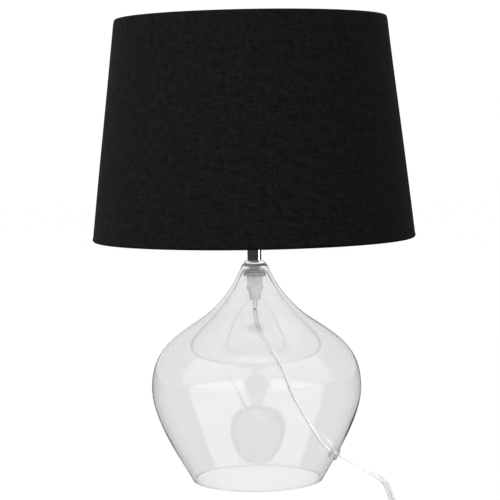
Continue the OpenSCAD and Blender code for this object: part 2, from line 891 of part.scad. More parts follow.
module switch_contacts() {
    z = switch_z + switch_wall + fit;
    color("gold")
        for (side = [-1, 1]) at_switch(z)
            translate([side * (strip_l + strip_gap) / 2, -strip_y, strip_h / 2])
                cube([strip_l, strip_w, strip_h], center = true);
}

module switch_screws() {
    color("silver")
        at_bosses() translate([0, 0, lift])
            cylinder(r = switch_screw_r, h = switch_screw_l - lift);
}

// ---- Plug ----------------------------------------------------------------------

module plug_body() {
    face_x = plug_x - plug_l;
    shoulder_x = face_x + plug_shoulder;
    color("white") difference() {
        union() {
            intersection() {
                translate([0, cord_y, 0]) linear_extrude(2 * plug_t)
                    polygon([[face_x, -plug_w / 2], [shoulder_x, -plug_w / 2],
                        [plug_x, -plug_rear_w / 2], [plug_x, plug_rear_w / 2],
                        [shoulder_x, plug_w / 2], [face_x, plug_w / 2]]);
                translate([0, cord_y + plug_w, plug_z]) rotate([90, 0, 0])
                    linear_extrude(2 * plug_w)
                        polygon([[face_x, -plug_t / 2], [shoulder_x, -plug_t / 2],
                            [plug_x, -plug_rear_t / 2], [plug_x, plug_rear_t / 2],
                            [shoulder_x, plug_t / 2], [face_x, plug_t / 2]]);
            }
            translate([plug_x, cord_y, plug_z]) rotate([0, 90, 0])
                cylinder(r1 = relief_foot_r, r2 = relief_tip_r, h = relief_l);
        }
        at_pins() cylinder(r = pin_core_r + fit, h = pin_root + over);
    }
}

// The foot of each pin's axis, pin_root inside the plug's face, pointing out of it
module at_pins() {
    for (side = [-1, 1])
        translate([plug_x - plug_l + pin_root, cord_y + side * pin_pitch / 2, plug_z])
            rotate([0, -90, 0]) children();
}

module plug_pins() {
    color("silver") at_pins() {
        cylinder(r = pin_core_r, h = pin_root + pin_sleeve_l + over);
        translate([0, 0, pin_root + pin_sleeve_l])
            cylinder(r = pin_r, h = pin_l - pin_sleeve_l);
    }
}

module pin_sleeves() {
    color("white") at_pins()
        ring(pin_sleeve_r, pin_core_r + fit / 2, pin_sleeve_l - 2 * fit, pin_root + fit);
}

glass_body();
top_gasket();
top_washer();
neck_tube();
threaded_tube();
lower_gasket();
lower_washer();
tube_nut();
grip_body();
grip_nut();
holder_cap();
holder_nut();
holder_shell();
holder_insert();
screw_sleeve();
centre_contact();
terminal_screws();
inner_wires();
lower_shade_ring();
upper_shade_ring();
shade_fitter();
bottom_wire_ring();
top_wire_ring();
shade_liner();
shade_fabric();
bulb_globe();
bulb_cap();
bulb_insulator();
bulb_contact();
led_post();
cord_grommet();
lamp_cord();
link_cord();
cord_coil();
tail_cord();
switch_base();
switch_cover();
switch_rocker();
switch_contacts();
switch_screws();
plug_body();
plug_pins();
pin_sleeves();
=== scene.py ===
from math import ceil, cos, hypot, pi, radians, sin, sqrt

import bmesh
import bpy
from mathutils import Matrix, Vector, noise


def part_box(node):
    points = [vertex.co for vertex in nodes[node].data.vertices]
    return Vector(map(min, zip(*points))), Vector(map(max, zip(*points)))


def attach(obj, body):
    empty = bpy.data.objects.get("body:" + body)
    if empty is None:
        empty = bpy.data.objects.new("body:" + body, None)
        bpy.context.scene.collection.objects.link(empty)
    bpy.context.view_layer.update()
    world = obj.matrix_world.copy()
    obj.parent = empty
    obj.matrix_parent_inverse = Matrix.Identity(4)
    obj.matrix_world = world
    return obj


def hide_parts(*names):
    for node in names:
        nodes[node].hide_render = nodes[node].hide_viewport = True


# A table lamp: clear glass body, chrome neck, fabric drum shade, flat clear cord.
# All lengths are in metres, in the frame's own axes.

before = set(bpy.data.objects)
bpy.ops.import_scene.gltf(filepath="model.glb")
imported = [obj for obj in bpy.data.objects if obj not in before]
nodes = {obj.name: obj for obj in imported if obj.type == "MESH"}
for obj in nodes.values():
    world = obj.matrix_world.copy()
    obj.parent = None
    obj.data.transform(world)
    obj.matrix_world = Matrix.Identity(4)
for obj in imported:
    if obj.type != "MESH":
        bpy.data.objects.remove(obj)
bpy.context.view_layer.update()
scene = bpy.context.scene
SMALL = 1e-7


# ---- Meshes ----


def clamp(value):
    return min(1.0, max(0.0, value))


def circle(count):
    return [(cos(2 * pi * k / count), sin(2 * pi * k / count)) for k in range(count)]


def add_object(name, data):
    obj = bpy.data.objects.new(name, data)
    scene.collection.objects.link(obj)
    return obj


def smooth(mesh, sharp=32):
    """Smooth shading, with sharp edges where two faces turn by more than sharp degrees."""
    mesh.shade_smooth()
    mesh.set_sharp_from_angle(angle=radians(sharp))


def mesh_object(name, verts, faces, uvs=None, sharp=32):
    mesh = bpy.data.meshes.new(name)
    mesh.from_pydata([tuple(v) for v in verts], [], faces)
    if uvs:
        layer = mesh.uv_layers.new(name="UVMap")
        for polygon, corners in zip(mesh.polygons, uvs):
            for loop, uv in zip(polygon.loop_indices, corners):
                layer.data[loop].uv = uv
    work = bmesh.new()
    work.from_mesh(mesh)
    bmesh.ops.remove_doubles(work, verts=work.verts, dist=SMALL)
    bmesh.ops.recalc_face_normals(work, faces=work.faces)
    work.to_mesh(mesh)
    work.free()
    smooth(mesh, sharp)
    return add_object(name, mesh)


def weigh_normals(obj):
    """Lets flat faces stay flat beside small rounded edges."""
    weigh = obj.modifiers.new("normals", "WEIGHTED_NORMAL")
    weigh.keep_sharp = True
    return obj


def grid(rows, closed):
    """Faces between rings of points, and UVs in metres measured along them."""
    count, across = len(rows), len(rows[0])
    verts = [point for row in rows for point in row]
    down = [0.0]
    for i in range(count):
        step = max((Vector(rows[(i + 1) % count][j]) - Vector(rows[i][j])).length
                   for j in range(0, across, max(1, across // 8)))
        down.append(down[-1] + step)
    widest = max(rows, key=lambda row: (Vector(row[0]) - Vector(row[across // 2])).length)
    lengths = [0.0]
    for j in range(across):
        lengths.append(lengths[-1] + (Vector(widest[(j + 1) % across]) - Vector(widest[j])).length)
    faces, uvs = [], []
    for i in range(count if closed else count - 1):
        for j in range(across):
            k, m = (i + 1) % count, (j + 1) % across
            faces.append((i * across + j, i * across + m, k * across + m, k * across + j))
            uvs.append([(lengths[j], down[i]), (lengths[j + 1], down[i]),
                        (lengths[j + 1], down[i + 1]), (lengths[j], down[i + 1])])
    return verts, faces, uvs


def lathe(name, profile, steps=96, closed=True, radius=None, sharp=32):
    """Turns (radius, height) points about the Z axis. radius(angle, r, z) may reshape each ring."""
    rows = []
    for r, z in profile:
        row = []
        for j, (x, y) in enumerate(circle(steps)):
            out = radius(2 * pi * j / steps, r, z) if radius else r
            row.append((out * x, out * y, z))
        rows.append(row)
    return mesh_object(name, *grid(rows, closed), sharp)


def loft(name, rings, closed, sharp=32):
    """A skin over rings of the same number of points: closed on itself, or capped at both ends."""
    verts, faces, uvs = grid(rings, closed)
    across = len(rings[0])
    if not closed:
        faces += [tuple(range(across))[::-1], tuple(range(len(verts) - across, len(verts)))]
        uvs += [[(p[0], p[1]) for p in rings[0]][::-1], [(p[0], p[1]) for p in rings[-1]]]
    return mesh_object(name, verts, faces, uvs, sharp)


def join(name, parts):
    """One object out of several."""
    work = bmesh.new()
    for part in parts:
        copy = part.data.copy()
        copy.transform(part.matrix_world)
        work.from_mesh(copy)
        bpy.data.meshes.remove(copy)
    mesh = bpy.data.meshes.new(name)
    work.to_mesh(mesh)
    work.free()
    for part in parts:
        bpy.data.objects.remove(part)
    smooth(mesh)
    return add_object(name, mesh)


def cut(obj, tool):
    """Takes tool's shape out of obj, and deletes tool."""
    change = obj.modifiers.new("cut", "BOOLEAN")
    change.operation = "DIFFERENCE"
    change.solver = "EXACT"
    change.object = tool
    bpy.context.view_layer.update()
    graph = bpy.context.evaluated_depsgraph_get()
    mesh = bpy.data.meshes.new_from_object(obj.evaluated_get(graph))
    obj.modifiers.clear()
    obj.data = mesh
    bpy.data.objects.remove(tool)


def softened(outline, radius, steps=4, closed=True):
    """The outline with each corner rounded."""
    points = [Vector(p) for p in outline]
    count, result = len(points), []
    for i, p in enumerate(points):
        if not closed and i in (0, count - 1):
            result.append(p)
            continue
        back, ahead = points[i - 1] - p, points[(i + 1) % count] - p
        reach = min(radius, 0.45 * back.length, 0.45 * ahead.length)
        if reach < SMALL or back.angle(ahead) > radians(172):
            result.append(p)
            continue
        a, b = p + back.normalized() * reach, p + ahead.normalized() * reach
        for k in range(steps + 1):
            t = k / steps
            result.append((1 - t) ** 2 * a + 2 * (1 - t) * t * p + t * t * b)
    return result


def rounded_rect(width, depth, corner, count=12):
    """Points round a rectangle with round corners, count to a corner, from +X anticlockwise."""
    corner = min(corner, width / 2 - SMALL, depth / 2 - SMALL)
    points = []
    for quarter, (sx, sy) in enumerate([(1, 1), (-1, 1), (-1, -1), (1, -1)]):
        centre = Vector((sx * (width / 2 - corner), sy * (depth / 2 - corner)))
        for k in range(count):
            a = pi / 2 * (quarter + k / (count - 1))
            points.append(centre + corner * Vector((cos(a), sin(a))))
    return points


def arc(centre, radius, start, end, steps):
    """Points on an arc, with angles in degrees."""
    turn = [radians(start + (end - start) * k / steps) for k in range(steps + 1)]
    return [Vector(centre) + radius * Vector((cos(a), sin(a))) for a in turn]


def bezier(p, count, first=0):
    """Points and headings along a cubic curve."""
    p = [Vector(q) for q in p]
    result = []
    for i in range(first, count + 1):
        t = i / count
        place = ((1 - t) ** 3 * p[0] + 3 * (1 - t) ** 2 * t * p[1]
                 + 3 * (1 - t) * t * t * p[2] + t ** 3 * p[3])
        heading = ((1 - t) ** 2 * (p[1] - p[0]) + 2 * (1 - t) * t * (p[2] - p[1])
                   + t * t * (p[3] - p[2])).normalized()
        result.append((place, heading))
    return result


def round_span(node):
    """Outer radius, lowest and highest point of a round CAD node on the lamp's axis."""
    low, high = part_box(node)
    return high.x, low.z, high.z


def drill(r, low, high):
    return lathe("drill", [(0, low), (r, low), (r, high), (0, high)], 48, False)


def ring_outline(bore, r, low, high):
    return [(bore, low), (r, low), (r, high), (bore, high)]


def place_along(obj, origin, direction):
    """Stands an object made about the Z axis at origin, pointing along direction."""
    turn = Vector(direction).to_track_quat("Z", "Y").to_matrix().to_4x4()
    obj.data.transform(Matrix.Translation(origin) @ turn)
    return obj


# ---- Materials ----


def put(tree, kind, inputs=None, **settings):
    node = tree.nodes.new("ShaderNode" + kind)
    for key, value in settings.items():
        setattr(node, key, value)
    for socket, value in (inputs or {}).items():
        if isinstance(value, bpy.types.NodeSocket):
            tree.links.new(value, node.inputs[socket])
        else:
            node.inputs[socket].default_value = value
    return node


MATERIALS = {}


def shader_material(name, **values):
    """A Principled material. An underscore in a keyword stands for a space in the socket's name."""
    mat = bpy.data.materials.new(name)
    mat.use_nodes = True
    MATERIALS[name] = mat
    shader = mat.node_tree.nodes["Principled BSDF"]
    for key, value in values.items():
        shader.inputs[key.replace("_", " ")].default_value = value
    return mat.node_tree, shader


def coordinates(tree, stretch=(1, 1, 1), uv=False):
    source = put(tree, "TexCoord").outputs["UV" if uv else "Object"]
    return put(tree, "Mapping", {"Vector": source, "Scale": stretch}).outputs["Vector"]


def spread(source, low, high, to_low, to_high):
    """Source, from low to high, spread over a new range."""
    return put(source.id_data, "MapRange", {"Value": source, "From Min": low, "From Max": high,
                                            "To Min": to_low, "To Max": to_high}).outputs["Result"]


def cloud(place, scale, detail=3.0, rough=0.5):
    return put(place.id_data, "TexNoise", {"Vector": place, "Scale": scale, "Detail": detail,
                                           "Roughness": rough}).outputs["Fac"]


def math(kind, *values):
    return put(values[0].id_data, "Math", dict(enumerate(values)), operation=kind).outputs[0]


def mix(share, first, second):
    inputs = {"Factor": share, "A": first, "B": second}
    return put(share.id_data, "Mix", inputs, data_type="FLOAT").outputs["Result"]


def bump(height, strength, distance, below=None):
    inputs = {"Height": height, "Strength": strength, "Distance": distance}
    if below:
        inputs["Normal"] = below
    return put(height.id_data, "Bump", inputs).outputs["Normal"]


def surface(shader, colours, gloss, relief):
    """Links what varies: colours are (noise, first, second), gloss goes to spread, relief to bump."""
    tree = shader.id_data
    if colours:
        node = put(tree, "Mix", {"Factor": colours[0]}, data_type="RGBA")
        node.inputs["A"].default_value = (*colours[1], 1)
        node.inputs["B"].default_value = (*colours[2], 1)
        tree.links.new(node.outputs["Result"], shader.inputs["Base Color"])
    tree.links.new(spread(*gloss), shader.inputs["Roughness"])
    tree.links.new(bump(*relief), shader.inputs["Normal"])


def metal(name, colour, rough, grain=(400, 400, 400), scratch=0.06, worn=None):
    """Plated metal: fine wiping marks, a slow change of gloss, and a faintly uneven colour."""
    tree, shader = shader_material(name, Metallic=1.0)
    fine = cloud(coordinates(tree, grain), 1.0, 4.0)
    slow = cloud(coordinates(tree), 90.0, 2.0)
    surface(shader, (slow, colour, worn or [c * 0.9 for c in colour]),
            (fine, 0.3, 0.7, rough * 0.7, rough * 1.4), (fine, scratch, 0.00005))


def satin(name, tone, first, second, gloss, grain, relief, **values):
    """Colour and gloss that vary together with the noise tone, over the relief of the noise grain."""
    tree, shader = shader_material(name, **values)
    place = coordinates(tree)
    slow = cloud(place, *tone)
    surface(shader, (slow, first, second), (slow, 0.3, 0.7, *gloss),
            (cloud(place, *grain), *relief))


def plastic(name, colour, rough, grain=2500.0, depth=0.12, **values):
    """Moulded plastic: a fine spark-eroded grain, gloss that varies slowly."""
    satin(name, (60.0, 3.0), colour, [c * 0.93 for c in colour], (rough * 0.85, rough * 1.2),
          (grain, 2.0), (depth, 0.00006), **values)


def clear(name, colour, rough, ior, ripple, ripple_scale, transmission):
    """Glass or clear plastic: a slow ripple in the surface, and gloss that is a little uneven."""
    tree, shader = shader_material(name, IOR=ior, Base_Color=(*colour, 1), Transmission_Weight=transmission)
    place = coordinates(tree)
    surface(shader, None,
            (cloud(place, ripple_scale * 4, 3.0), 0.35, 0.75, rough * 0.5, rough * 1.5),
            (cloud(place, ripple_scale, 2.0), 0.25, ripple))
    return tree


def absorb(tree, per_metre):
    """Lets a clear material swallow light along its way through, so that edge-on glass is darker."""
    volume = put(tree, "VolumeAbsorption", {"Color": (0, 0, 0, 1), "Density": per_metre})
    tree.links.new(volume.outputs[0], tree.nodes["Material Output"].inputs["Volume"])


THREAD_PITCH = 0.0006


def woven_cloth():
    """Fine plain weave of black thread: each thread goes over and under, and varies in thickness."""
    tree, shader = shader_material("black_fabric", Specular_IOR_Level=0.04, Sheen_Weight=0.03,
                                   Sheen_Roughness=0.5, Sheen_Tint=(0.75, 0.78, 0.82, 1))
    place = coordinates(tree, (pi / THREAD_PITCH, pi / THREAD_PITCH, 1), uv=True)
    split = put(tree, "SeparateXYZ", {"Vector": place}).outputs
    along, down = math("SINE", split["X"]), math("SINE", split["Y"])
    over = math("GREATER_THAN", math("MULTIPLY", along, down), 0.0)
    thread = mix(over, math("ABSOLUTE", along), math("ABSOLUTE", down))

    def streaks(stretch, detail, rough):
        return cloud(coordinates(tree, (*stretch, 1), uv=True), 1.0, detail, rough)

    def weighed(first, second):
        return math("ADD", math("MULTIPLY", first, 0.6), math("MULTIPLY", second, 0.4))

    slubs = weighed(streaks((60, 900), 3.0, 0.6), streaks((900, 90), 3.0, 0.6))
    broad = weighed(slubs, streaks((160, 160), 4.0, 0.65))
    tone = spread(weighed(broad, streaks((750, 1100), 2.0, 0.7)), 0.40, 0.60, 0.0, 1.0)
    surface(shader, (tone, (0.0036, 0.0036, 0.0037), (0.0226, 0.0226, 0.0229)),
            (thread, 0.0, 1.0, 0.92, 0.72), (slubs, 0.7, 0.00045, bump(thread, 0.55, 0.00022)))


def cord_jacket():
    """Clear soft vinyl, faintly warm, with drawing lines along the cord."""
    tree, shader = shader_material("cord_jacket", Transmission_Weight=1.0, IOR=1.46,
                                   Base_Color=(0.995, 0.993, 0.986, 1))
    lines = cloud(coordinates(tree, (2500, 12, 1), uv=True), 1.0, 2.0)
    surface(shader, None, (cloud(coordinates(tree), 300.0), 0.3, 0.7, 0.06, 0.14),
            (lines, 0.15, 0.00004))


def stranded_core():
    """Tinned copper strands, laid with a slow twist."""
    tree, shader = shader_material("tinned_core", Metallic=1.0)
    strands = put(tree, "TexWave", {"Vector": coordinates(tree, (2600, 900, 1), uv=True), "Scale": 0.4,
                                    "Distortion": 0.4}, bands_direction="DIAGONAL").outputs["Fac"]
    surface(shader, (strands, (0.86, 0.84, 0.80), (0.97, 0.96, 0.94)), (strands, 0, 1, 0.55, 0.42),
            (strands, 0.8, 0.00012))


absorb(clear("clear_glass", (0.915, 0.916, 0.916), 0.002, 1.5, 0.00008, 18.0, 1.0), 10.0)
clear("clear_plastic", (0.985, 0.985, 0.98), 0.3, 1.38, 0.0001, 400.0, 0.6)
clear("milky_plastic", (0.985, 0.985, 0.98), 0.3, 1.38, 0.0001, 400.0, 0.3)
cord_jacket()
stranded_core()
woven_cloth()
plastic("wire_jacket", (0.80, 0.80, 0.77), 0.42, 1800.0)
metal("chrome", (0.80, 0.81, 0.83), 0.06)
# Chrome whose base colour is darkened as a painted reflection: it stands in for the dark surroundings that
# polished chrome mirrors, on the neck tube and the clamp washer
metal("chrome_painted_dark_reflections", (0.34, 0.345, 0.36), 0.07, (900, 900, 60), 0.12)
metal("nickel", (0.72, 0.70, 0.66), 0.16, (700, 700, 700), 0.1)
metal("zinc_steel", (0.66, 0.67, 0.69), 0.24, (900, 900, 900), 0.2)
metal("brass", (0.78, 0.60, 0.30), 0.22, (600, 600, 900), 0.15, (0.60, 0.43, 0.19))
plastic("holder_plastic", (0.022, 0.022, 0.023), 0.34)
plastic("ceramic_white", (0.86, 0.85, 0.80), 0.16, 500.0, 0.08, Coat_Weight=0.5)
plastic("black_glass", (0.012, 0.012, 0.014), 0.1, 300.0, 0.15, Coat_Weight=0.6)
plastic("led_white", (0.84, 0.84, 0.81), 0.4)
plastic("white_plastic", (0.80, 0.80, 0.785), 0.27)
plastic("sleeve_plastic", (0.70, 0.70, 0.69), 0.4)
plastic("tie_paper", (0.80, 0.79, 0.75), 0.6, 900.0, 0.5)
# White powder coat, the shade's mottled white lining, and the bulb's frosted opal glass
satin("white_frame", (120.0, 3.0), (0.84, 0.84, 0.83), (0.76, 0.76, 0.74), (0.32, 0.46),
      (1400.0, 1.0), (0.35, 0.0001))
satin("shade_liner", (220.0, 5.0, 0.7), (0.80, 0.79, 0.76), (0.88, 0.87, 0.84), (0.42, 0.58),
      (900.0, 3.0), (0.2, 0.00008), Subsurface_Weight=0.15, Subsurface_Scale=0.002)
satin("opal_glass", (70.0, 3.0), (0.90, 0.90, 0.88), (0.85, 0.85, 0.83), (0.30, 0.42),
      (3000.0, 2.0), (0.1, 0.00004), Subsurface_Weight=0.4, Subsurface_Scale=0.004,
      Coat_Weight=0.35, Coat_Roughness=0.12)


def finish_piece(obj, finish, *replaced, body="lamp"):
    """Gives a piece its material and its body, and hides the CAD nodes that it stands for."""
    obj.data.materials.clear()
    obj.data.materials.append(MATERIALS[finish])
    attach(obj, body)
    if replaced:
        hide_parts(*replaced)
    return obj


# CAD nodes that stay: material, and how far their edges are rounded
for node, finish, edge in [
        ("holder_nut", "zinc_steel", 0.0003), ("holder_insert", "ceramic_white", 0.0003),
        ("screw_sleeve", "brass", 0.0002), ("centre_contact", "brass", 0.00015),
        ("terminal_screws", "zinc_steel", 0.0002), ("inner_wires", "wire_jacket", 0),
        ("led_post", "led_white", 0.0008), ("bottom_wire_ring", "white_frame", 0),
        ("top_wire_ring", "white_frame", 0), ("switch_rocker", "white_plastic", 0.0004),
        ("switch_contacts", "brass", 0.0001), ("switch_screws", "zinc_steel", 0.0003)]:
    obj = nodes[node]
    obj.data.materials.clear()
    obj.data.materials.append(MATERIALS[finish])
    if edge:
        obj.modifiers.new("weld", "WELD").merge_threshold = SMALL
        bevel = obj.modifiers.new("edge", "BEVEL")
        bevel.width = edge
        bevel.segments = 3
        bevel.limit_method = "ANGLE"
        bevel.angle_limit = radians(40)
        bevel.use_clamp_overlap = True
        weigh_normals(obj)

# ---- Camera ----

CAMERA_PLACE = Vector((-0.004, -1.551, 0.332))
CAMERA_DIP = 4.29
CAMERA_LEAN = -1.0
LENS = 120
FILM = 36


def make_camera():
    data = bpy.data.cameras.new("camera")
    data.lens = LENS
    data.sensor_width = FILM
    data.clip_start = 0.01
    camera = add_object("camera", data)
    camera.matrix_world = (Matrix.Translation(CAMERA_PLACE)
                           @ Matrix.Rotation(radians(90 - CAMERA_DIP), 4, "X")
                           @ Matrix.Rotation(radians(CAMERA_LEAN), 4, "Z"))
    scene.camera = camera


make_camera()

# ---- Cord ----

CORD_W = 0.0052
CORD_T = 0.0026
GRIP_TIP_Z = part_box("grip_nut")[0].z
CORD_Y = -0.184
# The route's points, each x, y, z in metres and roll in degrees: 0 lies flat, 90 on edge
GRIP_TO_SWITCH = [
    (0, 0, GRIP_TIP_Z, 90), (0, 0, 0.155, 90), (0.0015, 0, 0.145, 90), (0.006, 0, 0.1345, 84),
    (0.0125, 0, 0.1245, 70), (0.019, 0, 0.114, 55), (0.0245, 0, 0.1025, 42), (0.029, 0, 0.0905, 34),
    (0.0335, 0, 0.0785, 28), (0.0395, 0, 0.0665, 24), (0.0465, 0, 0.0545, 20), (0.054, 0, 0.0425, 18),
    (0.0605, 0, 0.0325, 16), (0.068, 0, 0.0249, 15), (0.077, 0, 0.01995, 15), (0.086, 0, 0.015, 15),
    (0.0955, -0.0025, 0.010, 12), (0.104, -0.008, 0.006, 8), (0.1105, -0.0165, 0.0034, 4),
    (0.1145, -0.027, 0.002, 2), (0.1165, -0.0385, 0.0016, 0), (0.117, -0.050, 0.0016, 0),
    *[(0.117, -0.065 - 0.015 * k, 0.0016, 0) for k in range(6)],
    (0.117, -0.154, 0.0016, 0), (0.115, -0.168, 0.0016, 0), (0.1095, -0.1765, 0.0016, 0),
    (0.101, -0.182, 0.0024, 0), (0.091, CORD_Y, 0.0038, 0), (0.080, CORD_Y, 0.0048, 0),
]
SWITCH_TO_COIL = [
    (0.024, CORD_Y, 0.0048, 0), (0.013, CORD_Y, 0.0046, 25), (0.002, CORD_Y, 0.004, 60),
    (-0.010, CORD_Y, 0.003, 90),
]
COIL_TO_PLUG = [
    (-0.010, CORD_Y, 0.0084, 90), (-0.022, CORD_Y, 0.0082, 75), (-0.034, CORD_Y, 0.0064, 50),
    (-0.046, CORD_Y, 0.0038, 20), (-0.056, CORD_Y, 0.0022, 0), (-0.066, CORD_Y, 0.0036, 0),
    (-0.077, CORD_Y, 0.00705, 0), (-0.086, CORD_Y, 0.00705, 0),
]
COIL_TURN_R = 0.036
COIL_TURNS = 3
COIL_PITCH = 0.0032
COIL_CENTRE = Vector((-0.010, CORD_Y - COIL_TURN_R, 0))
COIL_LOW_Z = 0.0030
COIL_HIGH_Z = 0.0084
COIL_POINTS = 40
CORD_SPACING = 0.0018


def coil_route():
    """Three turns in along the surface, one that climbs, and three turns out on top of them."""
    inner = COIL_TURN_R - COIL_TURNS * COIL_PITCH
    points = []
    for i in range(1, (2 * COIL_TURNS + 1) * COIL_POINTS):
        turn = i / COIL_POINTS
        if turn <= COIL_TURNS:
            r, z = COIL_TURN_R - COIL_PITCH * turn, COIL_LOW_Z
        elif turn < COIL_TURNS + 1:
            climb = turn - COIL_TURNS
            r, z = inner, COIL_LOW_Z + (COIL_HIGH_Z - COIL_LOW_Z) * (3 - 2 * climb) * climb ** 2
        else:
            r, z = inner + COIL_PITCH * (turn - COIL_TURNS - 1), COIL_HIGH_Z
        a = pi / 2 + 2 * pi * turn
        points.append((COIL_CENTRE.x + r * cos(a), COIL_CENTRE.y + r * sin(a), z, 90))
    return points


def smooth_route(route, spacing):
    """A smooth curve through the route's points, sampled about evenly; keeps each point's roll."""
    points = [Vector(p) for p in route]
    points = [2 * points[0] - points[1]] + points + [2 * points[-1] - points[-2]]
    result = []
    for i in range(1, len(points) - 2):
        p = points[i - 1:i + 3]
        knots = [0.0]
        for k in range(3):
            knots.append(knots[-1] + max((p[k + 1].xyz - p[k].xyz).length, SMALL) ** 0.5)
        steps = max(1, ceil((p[2].xyz - p[1].xyz).length / spacing))
        for k in range(steps):
            t = knots[1] + (knots[2] - knots[1]) * k / steps
            a = [p[j] + (p[j + 1] - p[j]) * ((t - knots[j]) / (knots[j + 1] - knots[j])) for j in range(3)]
            b = [a[j] + (a[j + 1] - a[j]) * ((t - knots[j]) / (knots[j + 2] - knots[j])) for j in range(2)]
            result.append(b[0] + (b[1] - b[0]) * ((t - knots[1]) / (knots[2] - knots[1])))
    result.append(points[-2].copy())
    return result


def cord_frames(route):
    """Each place on the route with the directions of the cord's width and thickness there."""
    frames = []
    for i, point in enumerate(route):
        heading = (route[min(i + 1, len(route) - 1)].xyz - route[max(i - 1, 0)].xyz).normalized()
        level = Vector((heading.y, -heading.x, 0))
        side = level.normalized() if level.length > 0.001 else Vector((0, -1, 0))
        up = side.cross(heading)
        roll = radians(point.w)
        frames.append((point.xyz, side * cos(roll) + up * sin(roll), up * cos(roll) - side * sin(roll)))
    return frames


def figure_eight(width, thick, waist, count=28):
    """Section of a flat twin cord: two round cores with a shallow groove between them."""
    lobe = thick / 2
    reach = width / 2 - lobe
    points = []
    for level, upright in circle(count):
        x = width / 2 * level
        edge = max(0.0, abs(x) - reach)
        y = sqrt(max(0.0, lobe ** 2 - edge ** 2))
        groove = waist * max(0.0, 1 - abs(x) / (0.55 * reach)) ** 2
        points.append((x, (y - groove) * (1 if upright >= 0 else -1) if abs(upright) > SMALL else 0.0))
    return points


def sweep(name, frames, section):
    """A cord, core or bar of that section along the frames."""
    return loft(name, [[place + wide * x + thin * y for x, y in section] for place, wide, thin in frames],
                False, 60)


SWITCH_LEVEL = [(0.066, CORD_Y, 0.0048, 0), (0.052, CORD_Y, 0.0048, 0), (0.038, CORD_Y, 0.0048, 0)]
cord_line = smooth_route(
    GRIP_TO_SWITCH + SWITCH_LEVEL + SWITCH_TO_COIL + coil_route() + COIL_TO_PLUG, CORD_SPACING)
cord_places = cord_frames(cord_line)
cord = sweep("cord", cord_places, figure_eight(CORD_W, CORD_T, 0.00045))
finish_piece(cord, "cord_jacket", "lamp_cord", "link_cord", "cord_coil", "tail_cord")

CORE_R = 0.00062
CORE_OFFSET = 0.0013


def cord_cores():
    ring = [(CORE_R * x, CORE_R * y) for x, y in circle(10)]
    sides = []
    for side in (-1, 1):
        moved = [(p + wide * side * CORE_OFFSET, wide, thin) for p, wide, thin in cord_places]
        sides.append(sweep("core", moved, ring))
    return finish_piece(join("cord_cores", sides), "tinned_core")


cores = cord_cores()

# ---- Glass body ----

GLASS_WALL = 0.0034
NECK_R = 0.012
SHOULDER = Vector((0.053, 0.1505))
SHOULDER_SLOPE = radians(33.7)
BELLY_R, _, GLASS_H = round_span("glass_body")
BELLY = Vector((BELLY_R, 0.087))
RIM_ROUND = 0.0009
FOOT = Vector((0.0615, RIM_ROUND))
SHOULDER_HEADING = Vector((cos(SHOULDER_SLOPE), -sin(SHOULDER_SLOPE)))
GLASS_CURVES = [
    ([Vector((NECK_R, GLASS_H)), Vector((NECK_R + 0.013, GLASS_H - 0.031)),
      SHOULDER - 0.0108 * SHOULDER_HEADING, SHOULDER], 46),
    ([SHOULDER, SHOULDER + 0.0307 * SHOULDER_HEADING, BELLY + Vector((0, 0.035)), BELLY], 46),
    ([BELLY, BELLY - Vector((0, 0.027)), FOOT + Vector((0.0135, 0.0236)), FOOT], 50),
]
EXIT_INSIDE = Vector((0.066, 0.026))
EXIT_OUTSIDE = Vector((0.086, 0.015))
EXIT_DIRECTION = Vector((EXIT_OUTSIDE.x - EXIT_INSIDE.x, 0, EXIT_OUTSIDE.y - EXIT_INSIDE.y)).normalized()
GLASS_HOLE_R = 0.0045


def glass_lines():
    """Points and headings down the outer face, from the rim to the base."""
    return [point for i, (curve, count) in enumerate(GLASS_CURVES)
            for point in bezier(curve, count, min(i, 1))]


def exit_point():
    """Where the cord's way out meets the outer face of the glass."""
    slope = (EXIT_OUTSIDE.y - EXIT_INSIDE.y) / (EXIT_OUTSIDE.x - EXIT_INSIDE.x)

    def height(x):
        return EXIT_INSIDE.y + (x - EXIT_INSIDE.x) * slope

    low_face = [place for place, _ in glass_lines() if place.y < 0.06]
    x = min(low_face, key=lambda place: abs(height(place.x) - place.y)).x
    return Vector((x, 0, height(x)))


def glass_body():
    line = glass_lines()
    outer = [p for p, _ in line]
    inner = [p + GLASS_WALL * Vector((d.y, -d.x)) for p, d in line]
    rim = softened([outer[1], outer[0], Vector((inner[0].x, GLASS_H)), inner[1]], 0.0006, 4, False)
    edge = arc((FOOT.x - RIM_ROUND, RIM_ROUND), RIM_ROUND, 0, -90, 5)[1:]
    edge += arc((inner[-1].x + RIM_ROUND, RIM_ROUND), RIM_ROUND, -90, -180, 5)[:-1]
    outer_keys = {(round(p.x, 7), round(p.y, 7)) for p in outer[2:]}

    def ripple(angle, r, z):
        """Blown glass isn't quite true: the face swells and sinks by a few hundredths."""
        outside = 1.0 if (round(r, 7), round(z, 7)) in outer_keys else -1.0
        place = Vector((cos(angle) * 2.2, sin(angle) * 2.2, z * 26 + 7 * outside))
        fade = clamp((GLASS_H - 0.012 - z) / 0.03) * clamp((z - 0.004) / 0.03)
        return r + 0.00012 * fade * noise.noise(place)

    body = lathe("glass_vessel", outer[2:] + edge + inner[:1:-1] + rim[::-1], 240, True, ripple, 50)
    cut(body, place_along(drill(GLASS_HOLE_R, -0.012, 0.012), exit_point(), EXIT_DIRECTION))
    smooth(body.data, 50)
    return finish_piece(body, "clear_glass", "glass_body")


glass = glass_body()

# ---- Neck ----

TUBE_CLEAR_R = 0.0051


